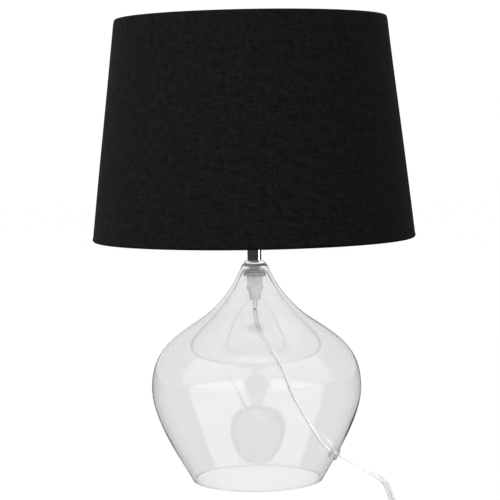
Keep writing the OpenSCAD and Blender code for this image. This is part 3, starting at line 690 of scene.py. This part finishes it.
def hex_nut(name, af, bore, low, high, chamfer):
    """A nut whose corners are turned down at both ends."""
    steps = 120
    flat = [af / 2 / cos((2 * pi * j / steps + pi / 6) % (pi / 3) - pi / 6) for j in range(steps)]
    corner = af / 2 / cos(pi / 6)
    near, low_in, high_in = corner - chamfer * 0.75, low + chamfer * 0.4, high - chamfer * 0.4
    levels = [(low, af / 2), (low_in, near), (low + chamfer, corner), (high - chamfer, corner),
              (high_in, near), (high, af / 2), (high, bore + 0.0004), (high - 0.0003, bore),
              (low + 0.0003, bore), (low, bore + 0.0003)]
    rows = [[(min(f, limit) * x, min(f, limit) * y, z) for f, (x, y) in zip(flat, circle(steps))]
            for z, limit in levels]
    return mesh_object(name, *grid(rows, True), 28)


def ring_piece(name, node, edge, bore=TUBE_CLEAR_R):
    """A plain ring in a CAD node's place, with rounded edges."""
    r, low, high = round_span(node)
    return lathe(name, softened(ring_outline(bore, r, low, high), edge), 128)


def screw_phase(angle, z, pitch):
    return (z / pitch - angle / (2 * pi)) % 1.0


def round_thread(angle, z, pitch):
    """0 at a knuckle thread's crest, 1 at its root."""
    return 0.5 - 0.5 * cos(2 * pi * screw_phase(angle, z, pitch))


def threaded(name, node, bore, pitch, depth, spans):
    """A tube with a screw thread over the given heights."""
    r, low, high = round_span(node)
    heights = [low]
    while heights[-1] < high - SMALL:
        z = heights[-1]
        inside = any(a - pitch <= z <= b + pitch for a, b in spans)
        heights.append(min(high, z + (pitch / 8 if inside else pitch * 2)))

    def radius(angle, out, z):
        if out < r - SMALL:
            return out
        fade = max([0.0] + [min(1.0, (z - a) / pitch + 0.5, (b - z) / pitch + 0.5) for a, b in spans])
        fade *= min(1.0, (z - low) / (pitch * 0.8) + 0.1, (high - z) / (pitch * 0.8) + 0.1)
        wave = abs(screw_phase(angle, z, pitch) * 2 - 1)
        return out - depth * wave * max(0.0, fade)

    return lathe(name, [(r, z) for z in heights] + [(bore, high), (bore, low)], 48, True, radius, 70)


def neck():
    r, low, high = round_span("top_washer")
    dome = bezier([(r, low + 0.0008), (r - 0.0002, low + 0.0022), (r - 0.0018, high), (0.0070, high)], 10)
    outline = [(TUBE_CLEAR_R, low), (r, low), (r, low + 0.0007), *[p for p, _ in dome], (TUBE_CLEAR_R, high)]
    washer = lathe("domed_washer", softened(outline, 0.00018, 2), 128)
    finish_piece(weigh_normals(washer), "chrome", "top_washer")

    tube = ring_piece("polished_neck", "neck_tube", 0.0004)
    # The neck tube's darkness is painted reflection in the chrome's base colour
    finish_piece(weigh_normals(tube), "chrome_painted_dark_reflections", "neck_tube")

    _, tube_low, tube_high = round_span("threaded_tube")
    stem = threaded("lamp_tube", "threaded_tube", 0.0037, 0.001, 0.00055,
                    [(tube_low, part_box("top_gasket")[0].z), (round_span("neck_tube")[2], tube_high)])
    finish_piece(stem, "zinc_steel", "threaded_tube")

    for name, node, edge in [("rim_gasket", "top_gasket", 0.0003), ("neck_gasket", "lower_gasket", 0.0005)]:
        finish_piece(ring_piece(name, node, edge), "clear_plastic", node)
    r, low, high = round_span("lower_washer")
    cup = lathe("clamp_washer", softened([
        (TUBE_CLEAR_R, low + 0.0006), (r - 0.0022, low + 0.0006), (r - 0.0014, low), (r, low), (r, high),
        (TUBE_CLEAR_R, high)], 0.00045), 128)
    # The clamp washer's darkness is painted reflection in the chrome's base colour
    finish_piece(weigh_normals(cup), "chrome_painted_dark_reflections", "lower_washer")
    low, high = (c.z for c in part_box("tube_nut"))
    nut = hex_nut("clamp_nut", 0.015, TUBE_CLEAR_R, low, high, 0.0005)
    finish_piece(weigh_normals(nut), "milky_plastic", "tube_nut")


neck()

# ---- Cord grip and grommet ----

GRIP_BORE = 0.0028


def ribbed(count, depth, sharpness=2.0):
    """Shallow grooves round a turned piece."""
    def wave(angle):
        return depth * (0.5 - 0.5 * cos(count * angle)) ** sharpness
    return wave


def cord_grip():
    low, high = (c.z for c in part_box("grip_body"))
    body = hex_nut("grip_socket", 0.014, 0.0041, low, high, 0.0006)
    finish_piece(weigh_normals(body), "milky_plastic", "grip_body")

    collar_r, tip, top = round_span("grip_nut")
    collar_low = top - 0.0035
    nose_r, tip_r = 0.0065, 0.0049
    groove = ribbed(12, 0.00035)

    def radius(angle, r, z):
        if r < GRIP_BORE + 0.0006:
            return r
        if z > collar_low - SMALL:
            return r - 0.4 * groove(angle * 2) * (0.0 if r < collar_r - 0.0008 else 1.0)
        fade = min(1.0, (z - tip) / 0.001, (collar_low - z) / 0.001)
        return r - groove(angle) * max(0.0, fade)

    nose = [(tip_r + (nose_r - tip_r) * k / 8, tip + (collar_low - tip) * k / 8) for k in range(9)]
    outline = [(GRIP_BORE, tip), (tip_r - 0.0009, tip), (tip_r - 0.0001, tip + 0.0008)] + nose[1:] + [
        (collar_r - 0.0003, collar_low), (collar_r, collar_low + 0.0004), (collar_r, top - 0.0004),
        (collar_r - 0.0004, top), (GRIP_BORE, top)]
    nut = lathe("grip_nut_ribbed", outline, 144, True, radius, 40)
    finish_piece(nut, "milky_plastic", "grip_nut")


def grommet():
    """A clear bush: a round flange outside the glass, a neck, and a smaller flange inside."""
    bore, neck_r, inner_r, flange_r = 0.0028, 0.0044, 0.0054, 0.0061
    seat, flange_h, inner_h = 0.00035, 0.0022, 0.0016
    top = seat + flange_h
    inner_z = -GLASS_WALL - seat
    end = inner_z - inner_h
    outline = [(bore, end), (inner_r - 0.0008, end), (inner_r, inner_z - inner_h / 2), (inner_r, inner_z),
               (neck_r, inner_z), (neck_r, seat), (flange_r, seat), (flange_r, top - 0.0006),
               (flange_r - 0.0007, top), (bore + 0.0009, top), (bore, top - 0.0008)]
    bush = lathe("exit_grommet", softened(outline, 0.00035), 96, True, None, 40)
    place_along(bush, exit_point(), EXIT_DIRECTION)
    return finish_piece(bush, "clear_plastic", "cord_grommet")


cord_grip()
grommet_bush = grommet()

# ---- Bulb holder ----


def holder():
    r, low, high = round_span("holder_cap")
    foot_r, wall = 0.0085, 0.0018
    bend = r - foot_r
    centre = (foot_r, low + 0.002 + bend)
    outline = [(TUBE_CLEAR_R, low), (foot_r, low)]
    outline += arc(centre, bend, -90, 0, 22)
    outline += [(r, high - 0.0022), (r, high - 0.0012), (r, high), (r - wall, high)]
    outline += arc(centre, bend - wall, 0, -90, 22)
    outline.append((TUBE_CLEAR_R, centre[1] - bend + wall))
    cap = lathe("holder_dome", softened(outline, 0.0004, 3), 128)
    finish_piece(weigh_normals(cap), "holder_plastic", "holder_cap")

    r, low, high = round_span("holder_shell")
    lip_r = r - wall - 0.0023
    pitch, depth, rows = 0.0030, 0.0007, 14
    count = int((high - low) / pitch * rows)
    outer = [(r, low + (high - low) * k / count) for k in range(count + 1)]
    inner = [(lip_r, high), (lip_r, high - 0.0015), (r - wall, high - 0.0015), (r - wall, low)]

    def radius(angle, out, z):
        if out < r - SMALL:
            return out
        fade = clamp(min((z - low - 0.002) / 0.001, (high - 0.0012 - z) / 0.001))
        return out - depth * fade * round_thread(angle, z, pitch) ** 1.5

    shell = lathe("holder_skirt", outer + inner, 96, True, radius, 55)
    finish_piece(shell, "holder_plastic", "holder_shell")


def shade_nut(name, node, body, turned):
    """A ring that screws on the holder: a flange, and a collar with grip ribs."""
    r, low, high = round_span(node)
    collar_r, flange_h = 0.0224, 0.0016
    bore = 0.0195 + (0.0003 if turned else 0.00005)
    a, b, step = (low, high, -1) if turned else (high, low, 1)
    outline = [(bore, a), (r, a), (r, a - step * flange_h), (collar_r, a - step * flange_h),
               (collar_r, b), (bore, b)]
    groove = ribbed(36, 0.0005, 1.5)

    def radius(angle, out, z):
        ribbed_part = collar_r - 0.0006 <= out <= collar_r + 0.0001
        clear_of_ends = abs(z - a) >= flange_h + 0.0006 and abs(z - b) >= 0.0004
        return out - groove(angle) if ribbed_part and clear_of_ends else out

    piece = lathe(name, softened(outline, 0.0004, 3), 288, True, radius, 40)
    return finish_piece(piece, "holder_plastic", node, body=body)


holder()
shade_nut("lower_ring", "lower_shade_ring", "lamp", False)
shade_nut("upper_ring", "upper_shade_ring", "shade_ring", True)

# ---- Bulb ----


def bulb():
    r, low, high = round_span("bulb_cap")
    pitch, depth, steps = 0.0036, 0.0008, 14
    top = high - 0.0035
    count = int((top - low) / pitch * steps)
    outer = [(r, low + (top - low) * k / count) for k in range(count + 1)]
    outer += [(r - 0.0002, top + 0.0006), (r - 0.0004, top + 0.0012), (r - 0.0003, high - 0.0003),
              (r - 0.0008, high)]
    body = [(0.0, low), (r - 0.0012, low)] + outer + [(0.0, high)]

    def radius(angle, out, z):
        if out < r - SMALL or z > top:
            return out
        start = max(0.0, 1 - (z - low) / 0.0012)
        return out - depth * clamp((top - z) / 0.0015) * round_thread(angle, z, pitch) - 0.0010 * start

    cap = lathe("bulb_screw", body, 96, False, radius, 55)
    finish_piece(cap, "nickel", "bulb_cap", body="bulb")

    r, low, high = round_span("bulb_insulator")
    neck_r = 0.005
    cone = softened([(0, low), (neck_r, low), (neck_r + 0.001, low + 0.0008), (r, high - 0.0005), (r, high),
                     (0, high)], 0.0005, 4, False)
    foot = lathe("bulb_glass_foot", cone, 64, False, None, 40)
    finish_piece(foot, "black_glass", "bulb_insulator", body="bulb")
    r, low, high = round_span("bulb_contact")
    button = [(0, low)] + arc((r - 0.0008, low + 0.0008), 0.0008, -90, 0, 5) + [(r, high), (0, high)]
    finish_piece(lathe("bulb_button", button, 48, False, None, 40), "nickel", "bulb_contact", body="bulb")

    r, low, high = round_span("bulb_globe")
    foot = Vector((0.0124, low))
    widest = Vector((r, low + 0.026))
    tip = Vector((0, high))
    wall = 0.0009
    lines = bezier([foot, foot + Vector((0, 0.009)), widest - Vector((0, 0.012)), widest], 20)
    lines += bezier([widest, widest + Vector((0, 0.020)), tip + Vector((0.004, 0)), tip], 26, 1)
    outer = [p for p, _ in lines]
    inner = [(max(0.0, p.x - wall * abs(d.y)), p.y - wall * abs(d.x)) for p, d in lines]
    inner[0] = (foot.x - wall, low)
    globe = lathe("bulb_envelope", inner[::-1] + outer, 112, False, None, 60)
    finish_piece(globe, "opal_glass", "bulb_globe", body="bulb")


bulb()

# ---- Shade ----

SHADE_BOTTOM_R = 0.150
SHADE_TOP_R = 0.126
CLOTH = 0.0006
WIRE_R = 0.0015
HEM_R = WIRE_R + 0.0001 + CLOTH
_, SHADE_LOW, SHADE_HIGH = round_span("shade_fabric")
SEAM_HALF = 0.0075
HEM_TURN = 0.011


def shade_radius(z):
    share = (z - SHADE_LOW) / (SHADE_HIGH - SHADE_LOW)
    return SHADE_BOTTOM_R + (SHADE_TOP_R - SHADE_BOTTOM_R) * share


def off_back(angle):
    """How far an angle is from the back of the lamp, where the seams are."""
    return abs((angle - pi / 2 + pi) % (2 * pi) - pi)


def shade_cover():
    """The cloth: a tapered wall, rolled round a wire at each edge and turned up inside."""
    low_wire = Vector((shade_radius(SHADE_LOW) - HEM_R, SHADE_LOW + HEM_R))
    high_wire = Vector((shade_radius(SHADE_HIGH) - HEM_R, SHADE_HIGH - HEM_R))
    lift = 0.00085 + CLOTH

    def face(roll_r, inset):
        """One face of the cloth, from its end inside the bottom edge to its end inside the top edge."""
        low_end, high_end, start = SHADE_LOW + HEM_TURN, SHADE_HIGH - HEM_TURN, SHADE_LOW + 2 * HEM_R
        heights = [start + (SHADE_HIGH - 2 * HEM_R - start) * k / 60 for k in range(61)]
        turned = lift + CLOTH - inset
        return [(shade_radius(low_end) - turned, low_end), *arc(low_wire, roll_r, -180, 0, 16),
                *[(shade_radius(z) - inset, z) for z in heights], *arc(high_wire, roll_r, 0, 180, 16),
                (shade_radius(high_end) - turned, high_end)]

    def radius(angle, r, z):
        """A lap seam at the back, and a surface that isn't quite true."""
        seam = 0.00045 * clamp((SEAM_HALF - off_back(angle) * r) / 0.0009 + 0.5)
        outside = r > shade_radius(z) - CLOTH / 2
        middle = min(1.0, (z - SHADE_LOW) / 0.02, (SHADE_HIGH - z) / 0.02)
        wave = noise.noise(Vector((cos(angle) * 3.1, sin(angle) * 3.1, z * 9)))
        return r + 0.00035 * wave * max(0.0, middle) + (seam if outside else 0.0)

    outline = face(HEM_R, 0) + face(HEM_R - CLOTH, CLOTH)[::-1]
    cover = lathe("shade_cover", outline, 432, True, radius, 60)
    return finish_piece(cover, "black_fabric", "shade_fabric", body="shade")


def shade_lining():
    """The stiff white sheet inside the cloth, with its own lap at the back."""
    r, low, high = round_span("shade_liner")
    thick = 0.0008
    slope = (SHADE_BOTTOM_R - SHADE_TOP_R) / (SHADE_HIGH - SHADE_LOW)
    top_r = r - (high - low) * slope
    outline = [(r, low), (top_r, high), (top_r - thick, high), (r - thick, low)]
    dense = []
    for (r0, z0), (r1, z1) in zip(outline, outline[1:] + outline[:1]):
        count = 30 if abs(z1 - z0) > 0.01 else 1
        dense += [(r0 + (r1 - r0) * k / count, z0 + (z1 - z0) * k / count) for k in range(count)]

    def radius(angle, out, z):
        inside = out < r - (z - low) * slope - thick / 2
        lap = 0.0006 * clamp((0.009 - off_back(angle) * out) / 0.0008 + 0.5)
        return out - (lap if inside else 0.0)

    lining = lathe("shade_lining", dense, 432, True, radius, 60)
    return finish_piece(lining, "shade_liner", "shade_liner", body="shade")


def tube_through(name, points, r, steps=14):
    """A round bar through points, with rounded ends."""
    spacing = 0.0012
    frames = cord_frames(smooth_route([(*p, 0) for p in points], spacing))
    rings = []
    for i, (place, wide, thin) in enumerate(frames):
        reach = min(1.0, min(i, len(frames) - 1 - i) * spacing / r)
        out = max(0.15, sqrt(1 - (1 - reach) ** 2)) * r
        rings.append([place + (wide * x + thin * y) * out for x, y in circle(steps)])
    return loft(name, rings, False, 60)


def shade_frame():
    """The seat ring and its three spokes, welded to the bottom wire."""
    seat_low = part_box("lower_shade_ring")[1].z + 0.0003
    seat_h, seat_r, hole_r = 0.0015, 0.030, 0.021
    wire_z = SHADE_LOW + HEM_R
    wire_r = SHADE_BOTTOM_R - HEM_R
    parts = [lathe("seat", softened(ring_outline(hole_r, seat_r, seat_low, seat_low + seat_h), 0.0004))]
    middle = seat_low + seat_h / 2
    for k in range(3):
        a = radians(90 + 120 * k)
        line = [(0.0275, middle), (0.033, middle - 0.0002), (0.040, middle - 0.0030),
                (0.060, middle - 0.0088), (0.100, middle - 0.0202), (0.130, wire_z + 0.0047),
                (0.139, wire_z + 0.0020), (wire_r - WIRE_R - 0.0003, wire_z)]
        points = [(r * cos(a), r * sin(a), z) for r, z in line]
        parts.append(tube_through("spoke", points, 0.00145))
    finish_piece(weigh_normals(join("frame_spokes", parts)), "white_frame", "shade_fitter", body="shade")


cover = shade_cover()
lining = shade_lining()
shade_frame()

# ---- Inline switch ----


def switch_rings(width, depth, corner, low, high, edge, steps=5):
    """Rings up an outer wall whose last edge is rounded."""
    wall = [(low, edge * 0.25), (low + edge * 0.25, 0.0), (high - edge, 0.0)]
    wall += [(high + p.y, edge - p.x) for p in arc((0, -edge), edge, 0, 90, steps)[1:]]
    return [(rounded_rect(width - 2 * e, depth - 2 * e, corner - e), z) for z, e in wall]


def raised(rings, centre):
    return [[Vector((centre.x + p.x, centre.y + p.y, z)) for p in ring] for ring, z in rings]


def switch():
    low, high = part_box("switch_base")
    centre = (low + high) / 2
    width, depth, wall, corner = high.x - low.x, high.y - low.y, 0.0016, 0.008
    inside = rounded_rect(width - 2 * wall, depth - 2 * wall, corner - wall)
    rings = [(r, low.z + high.z - z) for r, z in switch_rings(width, depth, corner, low.z, high.z, 0.0014)]
    rings += [(inside, low.z + wall), (inside, high.z)]
    base = loft("switch_tray", raised(rings, centre), True)
    collars = []
    for side in (-1, 1):
        collar = []
        for e, d in [(0, -0.0005), (0, 0.0002), (0.0005, 0.0007), (0.0014, 0.0009)]:
            x = centre.x + side * (width / 2 + d)
            collar.append([Vector((x, centre.y + side * p.x, 0.0048 + p.y))
                           for p in rounded_rect(0.0086 - 2 * e, 0.0054 - 2 * e, 0.0026 - e)])
        collars.append(loft("collar", collar, False))
    tray = join("switch_tray", [base] + collars)
    for side in (-1, 1):
        hole = (centre.x + side * 0.0205, centre.y + 0.00585, low.z)
        cut(tray, place_along(drill(0.0021, -0.001, 0.0012), hole, (0, 0, 1)))
    smooth(tray.data)
    finish_piece(weigh_normals(tray), "white_plastic", "switch_base")

    low_z = high.z + 0.0001
    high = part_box("switch_cover")[1]
    slot_w, slot_d = 0.0206, 0.0096
    rings = switch_rings(width, depth, corner, low_z, high.z, 0.0022)
    for out, z in [(0.0006, high.z - 0.0001), (0.0002, high.z - 0.0002), (0.0, high.z - 0.0006)]:
        rings.append((rounded_rect(slot_w + 2 * out, slot_d + 2 * out, 0.0008 + out), z))
    rings += [(rounded_rect(slot_w, slot_d, 0.0008), high.z - wall), (inside, high.z - wall), (inside, low_z)]
    lid = loft("switch_lid", raised(rings, centre), True)
    finish_piece(weigh_normals(lid), "white_plastic", "switch_cover")
    return tray, lid


tray, lid = switch()

# ---- Plug ----

PLUG_REAR_X = -0.086
RELIEF_L = 0.018
PLUG_L = 0.026
PLUG_Z = 0.00705
PIN_Y = 0.0093
RIB = [(0, 0), (0.10, 0), (0.50, 0), (0.60, 0.0003), (0.66, 0.0010), (0.86, 0.0010), (0.92, 0.0003)]


def plug():
    shoulder_x = PLUG_REAR_X - RELIEF_L
    face_x = shoulder_x - PLUG_L
    rings = []

    def ring_at(x, width, thick, corner):
        rings.append([Vector((x, CORD_Y + p.x, PLUG_Z + p.y)) for p in rounded_rect(width, thick, corner)])

    def round_at(x, r):
        ring_at(x, 2 * r, 2 * r, r)

    for back, grow in [(0.0015, -0.0002), (0.0003, 0.0004)]:
        ring_at(PLUG_REAR_X - back, CORD_W + grow, CORD_T + grow, CORD_T / 2)
    round_at(PLUG_REAR_X, 0.0030)
    round_at(PLUG_REAR_X - 0.0003, 0.0035)
    ribs = 6
    pitch = (RELIEF_L - 0.0022) / ribs
    for k in range(ribs):
        start = PLUG_REAR_X - 0.0012 - pitch * k
        r = 0.0037 + 0.0015 * (k + 0.5) / ribs
        for share, drop in RIB:
            round_at(start - pitch * share, r - drop)
    round_at(shoulder_x + 0.0006, 0.0052)
    ring_at(shoulder_x + 0.0001, 0.0108, 0.0100, 0.0046)
    ring_at(shoulder_x - 0.0005, 0.0126, 0.0107, 0.0048)
    for k in range(1, 13):
        t = k / 12
        ease = t * t * (3 - 2 * t) * 0.35 + t * 0.65
        ring_at(shoulder_x - 0.0005 - 0.0115 * t, 0.0126 + 0.0226 * ease, 0.0107 + 0.0029 * t,
                0.0048 + 0.0008 * t)
    ring_at(face_x + 0.0060, 0.0353, 0.0137, 0.0056)
    for inset, back in [(0.0, 0.0012), (0.0001, 0.0008), (0.0004, 0.0003), (0.0009, 0.0)]:
        ring_at(face_x + back, 0.0353 - 2 * inset, 0.0137 - 2 * inset, 0.0056 - inset)
    body = loft("plug_moulding", rings, False, 38)
    finish_piece(weigh_normals(body), "white_plastic", "plug_body")

    pins, sleeves = [], []
    length = face_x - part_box("plug_pins")[0].x
    for side in (-1, 1):
        origin = Vector((face_x, CORD_Y + side * PIN_Y, PLUG_Z))
        tip = [(0, -0.008), (0.0014, -0.008), (0.0014, 0.0100), (0.0018, 0.0102), (0.0020, 0.0105),
               (0.0020, length - 0.0013)]
        tip += arc((0.0007, length - 0.0013), 0.0013, 10, 90, 6) + [(0, length)]
        pins.append(place_along(lathe("pin", tip, 40, False, None, 40), origin, (-1, 0, 0)))
        collar = softened(ring_outline(0.00145, 0.0017, 0.0001, 0.0098), 0.0001)
        sleeves.append(place_along(lathe("sleeve", collar, 40), origin, (-1, 0, 0)))
    return (body, finish_piece(join("plug_pin_pair", pins), "nickel", "plug_pins"),
            finish_piece(join("plug_pin_sleeves", sleeves), "sleeve_plastic", "pin_sleeves"))


plug_body, plug_pins, pin_sleeves = plug()

# ---- Tie round the coil ----


def coil_tie():
    """A paper-covered wire wrapped once round the coil's turns, with its ends twisted together."""
    angle = radians(200)
    out = Vector((cos(angle), sin(angle), 0))
    inner, outer = COIL_TURN_R - COIL_TURNS * COIL_PITCH - 0.0018, COIL_TURN_R + 0.0018
    low, high = 0.00035, 0.0113
    loop = [Vector((x, y)) for x, y in rounded_rect(outer - inner, high - low, 0.0016, 6)]
    middle = (inner + outer) / 2
    along = Vector((-sin(angle), cos(angle), 0))
    half_w, half_t = 0.0017, 0.0001
    rings = []
    for i, p in enumerate(loop):
        ahead, back = loop[(i + 1) % len(loop)], loop[i - 1]
        heading = (ahead - back).normalized()
        normal = Vector((heading.y, -heading.x))
        place = COIL_CENTRE + out * (middle + p.x) + Vector((0, 0, (low + high) / 2 + p.y))
        wide = normal.x * out + Vector((0, 0, normal.y))
        rings.append([place + sign * (along * s * half_w + wide * t * half_t) for sign in (1, -1)
                      for s, t in [(-1, -1), (-0.15, -1), (0, -2.4), (0.15, -1), (1, -1)]])
    band = loft("band", rings, True, 40)
    tails = []
    for side in (-1, 1):
        points = []
        for k in range(26):
            t = k / 25
            turn = pi * side / 2 + 2 * pi * 2.5 * min(1.0, t * 1.3)
            gap = 0.0011 if t < 0.75 else 0.0011 + 0.004 * (t - 0.75)
            reach = outer + 0.0009 + 0.012 * t
            height = 0.0106 - 0.0065 * t * t
            points.append(COIL_CENTRE + out * reach + along * gap * cos(turn)
                          + Vector((0, 0, height + gap * sin(turn))))
        tails.append(tube_through("tail", points, 0.0006, 8))
    return finish_piece(join("coil_tie", [band] + tails), "tie_paper")


tie = coil_tie()

# ---- Stage and light ----

FLOOR_HALF = 6.0


def seen_straight(tree):
    """1 for what the camera sees itself or through glass, 0 for light that is reflected or scattered."""
    rays = put(tree, "LightPath").outputs
    return math("MAXIMUM", rays["Is Camera Ray"], rays["Is Transmission Ray"])


def stage_floor():
    verts = [(x * FLOOR_HALF, y * FLOOR_HALF, 0) for x, y in ((-1, -1), (1, -1), (1, 1), (-1, 1))]
    floor = mesh_object("floor", verts, [(0, 1, 2, 3)])
    tree, shader = shader_material("floor", Base_Color=(0.06, 0.06, 0.06, 1), Roughness=1.0,
                                   Specular_IOR_Level=0.0, Emission_Color=(1, 1, 1, 1))
    tree.links.new(spread(seen_straight(tree), 0, 1, 0.08, 0.97), shader.inputs["Emission Strength"])
    floor.data.materials.append(MATERIALS["floor"])
    return floor


def link_group(name, objects, exclude):
    group = bpy.data.collections.new(name)
    for obj in objects:
        group.objects.link(obj)
    if exclude:
        for member in group.collection_objects:
            member.light_linking.link_state = "EXCLUDE"
    return group


def area_light(name, place, target, size, power, only=None, without=None):
    data = bpy.data.lights.new(name, "AREA")
    data.shape = "RECTANGLE"
    data.size, data.size_y = size
    data.energy = power
    lamp = add_object(name, data)
    aim = (Vector(target) - Vector(place)).to_track_quat("-Z", "Y").to_matrix().to_4x4()
    lamp.matrix_world = Matrix.Translation(place) @ aim
    lamp.visible_camera = False
    lamp.light_linking.receiver_collection = link_group(name + "_lit", only or without, bool(without))
    lamp.light_linking.blocker_collection = link_group(name + "_shade", [glass], True)


def studio():
    """White behind and seen through the glass, dim all round for what the gloss reflects."""
    world = bpy.data.worlds.new("studio")
    world.use_nodes = True
    tree = world.node_tree
    tree.nodes.clear()
    split = put(tree, "SeparateXYZ", {"Vector": put(tree, "TexCoord").outputs["Generated"]}).outputs
    behind = spread(split["Y"], -0.2, 0.9, 0.04, 0.60)
    leftward = spread(split["X"], 0.1, -0.9, 0.0, 0.16)
    above = spread(split["Z"], 0.55, 0.95, 0.0, 1.0)
    around = math("ADD", math("ADD", behind, leftward), above)
    soft = mix(put(tree, "LightPath").outputs["Is Glossy Ray"], 0.45, around)
    level = mix(seen_straight(tree), soft, 1.02)
    background = put(tree, "Background", {"Color": (1, 1, 1, 1), "Strength": level})
    put(tree, "OutputWorld", {"Surface": background.outputs[0]})
    scene.world = world

    area_light("key", (-1.3, -1.5, 1.5), (0, 0, 0.25), (1.2, 1.2), 24, without=[glass])
    area_light("top", (0, 0, 1.7), (0, 0, 0.25), (0.5, 0.5), 300,
               without=[glass, floor, cover, tray, lid, tie, plug_body, grommet_bush, nodes["switch_rocker"]])
    area_light("fill", (1.5, -1.3, 1.1), (0, 0, 0.25), (1.2, 1.2), 5, without=[glass])
    for side in (-1, 1):
        area_light(f"window_{side}", (side * 1.15, -0.86, 1.06), (0, 0, 0.40), (2.5, 1.6), 11, only=[glass])
    area_light("strip", (1.2, -0.10, 0.2), (0, 0, 0.2), (0.25, 1.0), 30,
               only=[bpy.data.objects["polished_neck"]])
    milky = [obj for obj in bpy.data.objects
             if obj.type == "MESH" and MATERIALS["milky_plastic"] in obj.data.materials[:]]
    area_light("grip_fill", (0, -1.2, 0.5), (0, 0, 0.2), (0.8, 0.8), 9, only=milky + [cord, cores])
    scene.view_settings.view_transform = "Standard"
    scene.view_settings.look = "None"


floor = stage_floor()
studio()
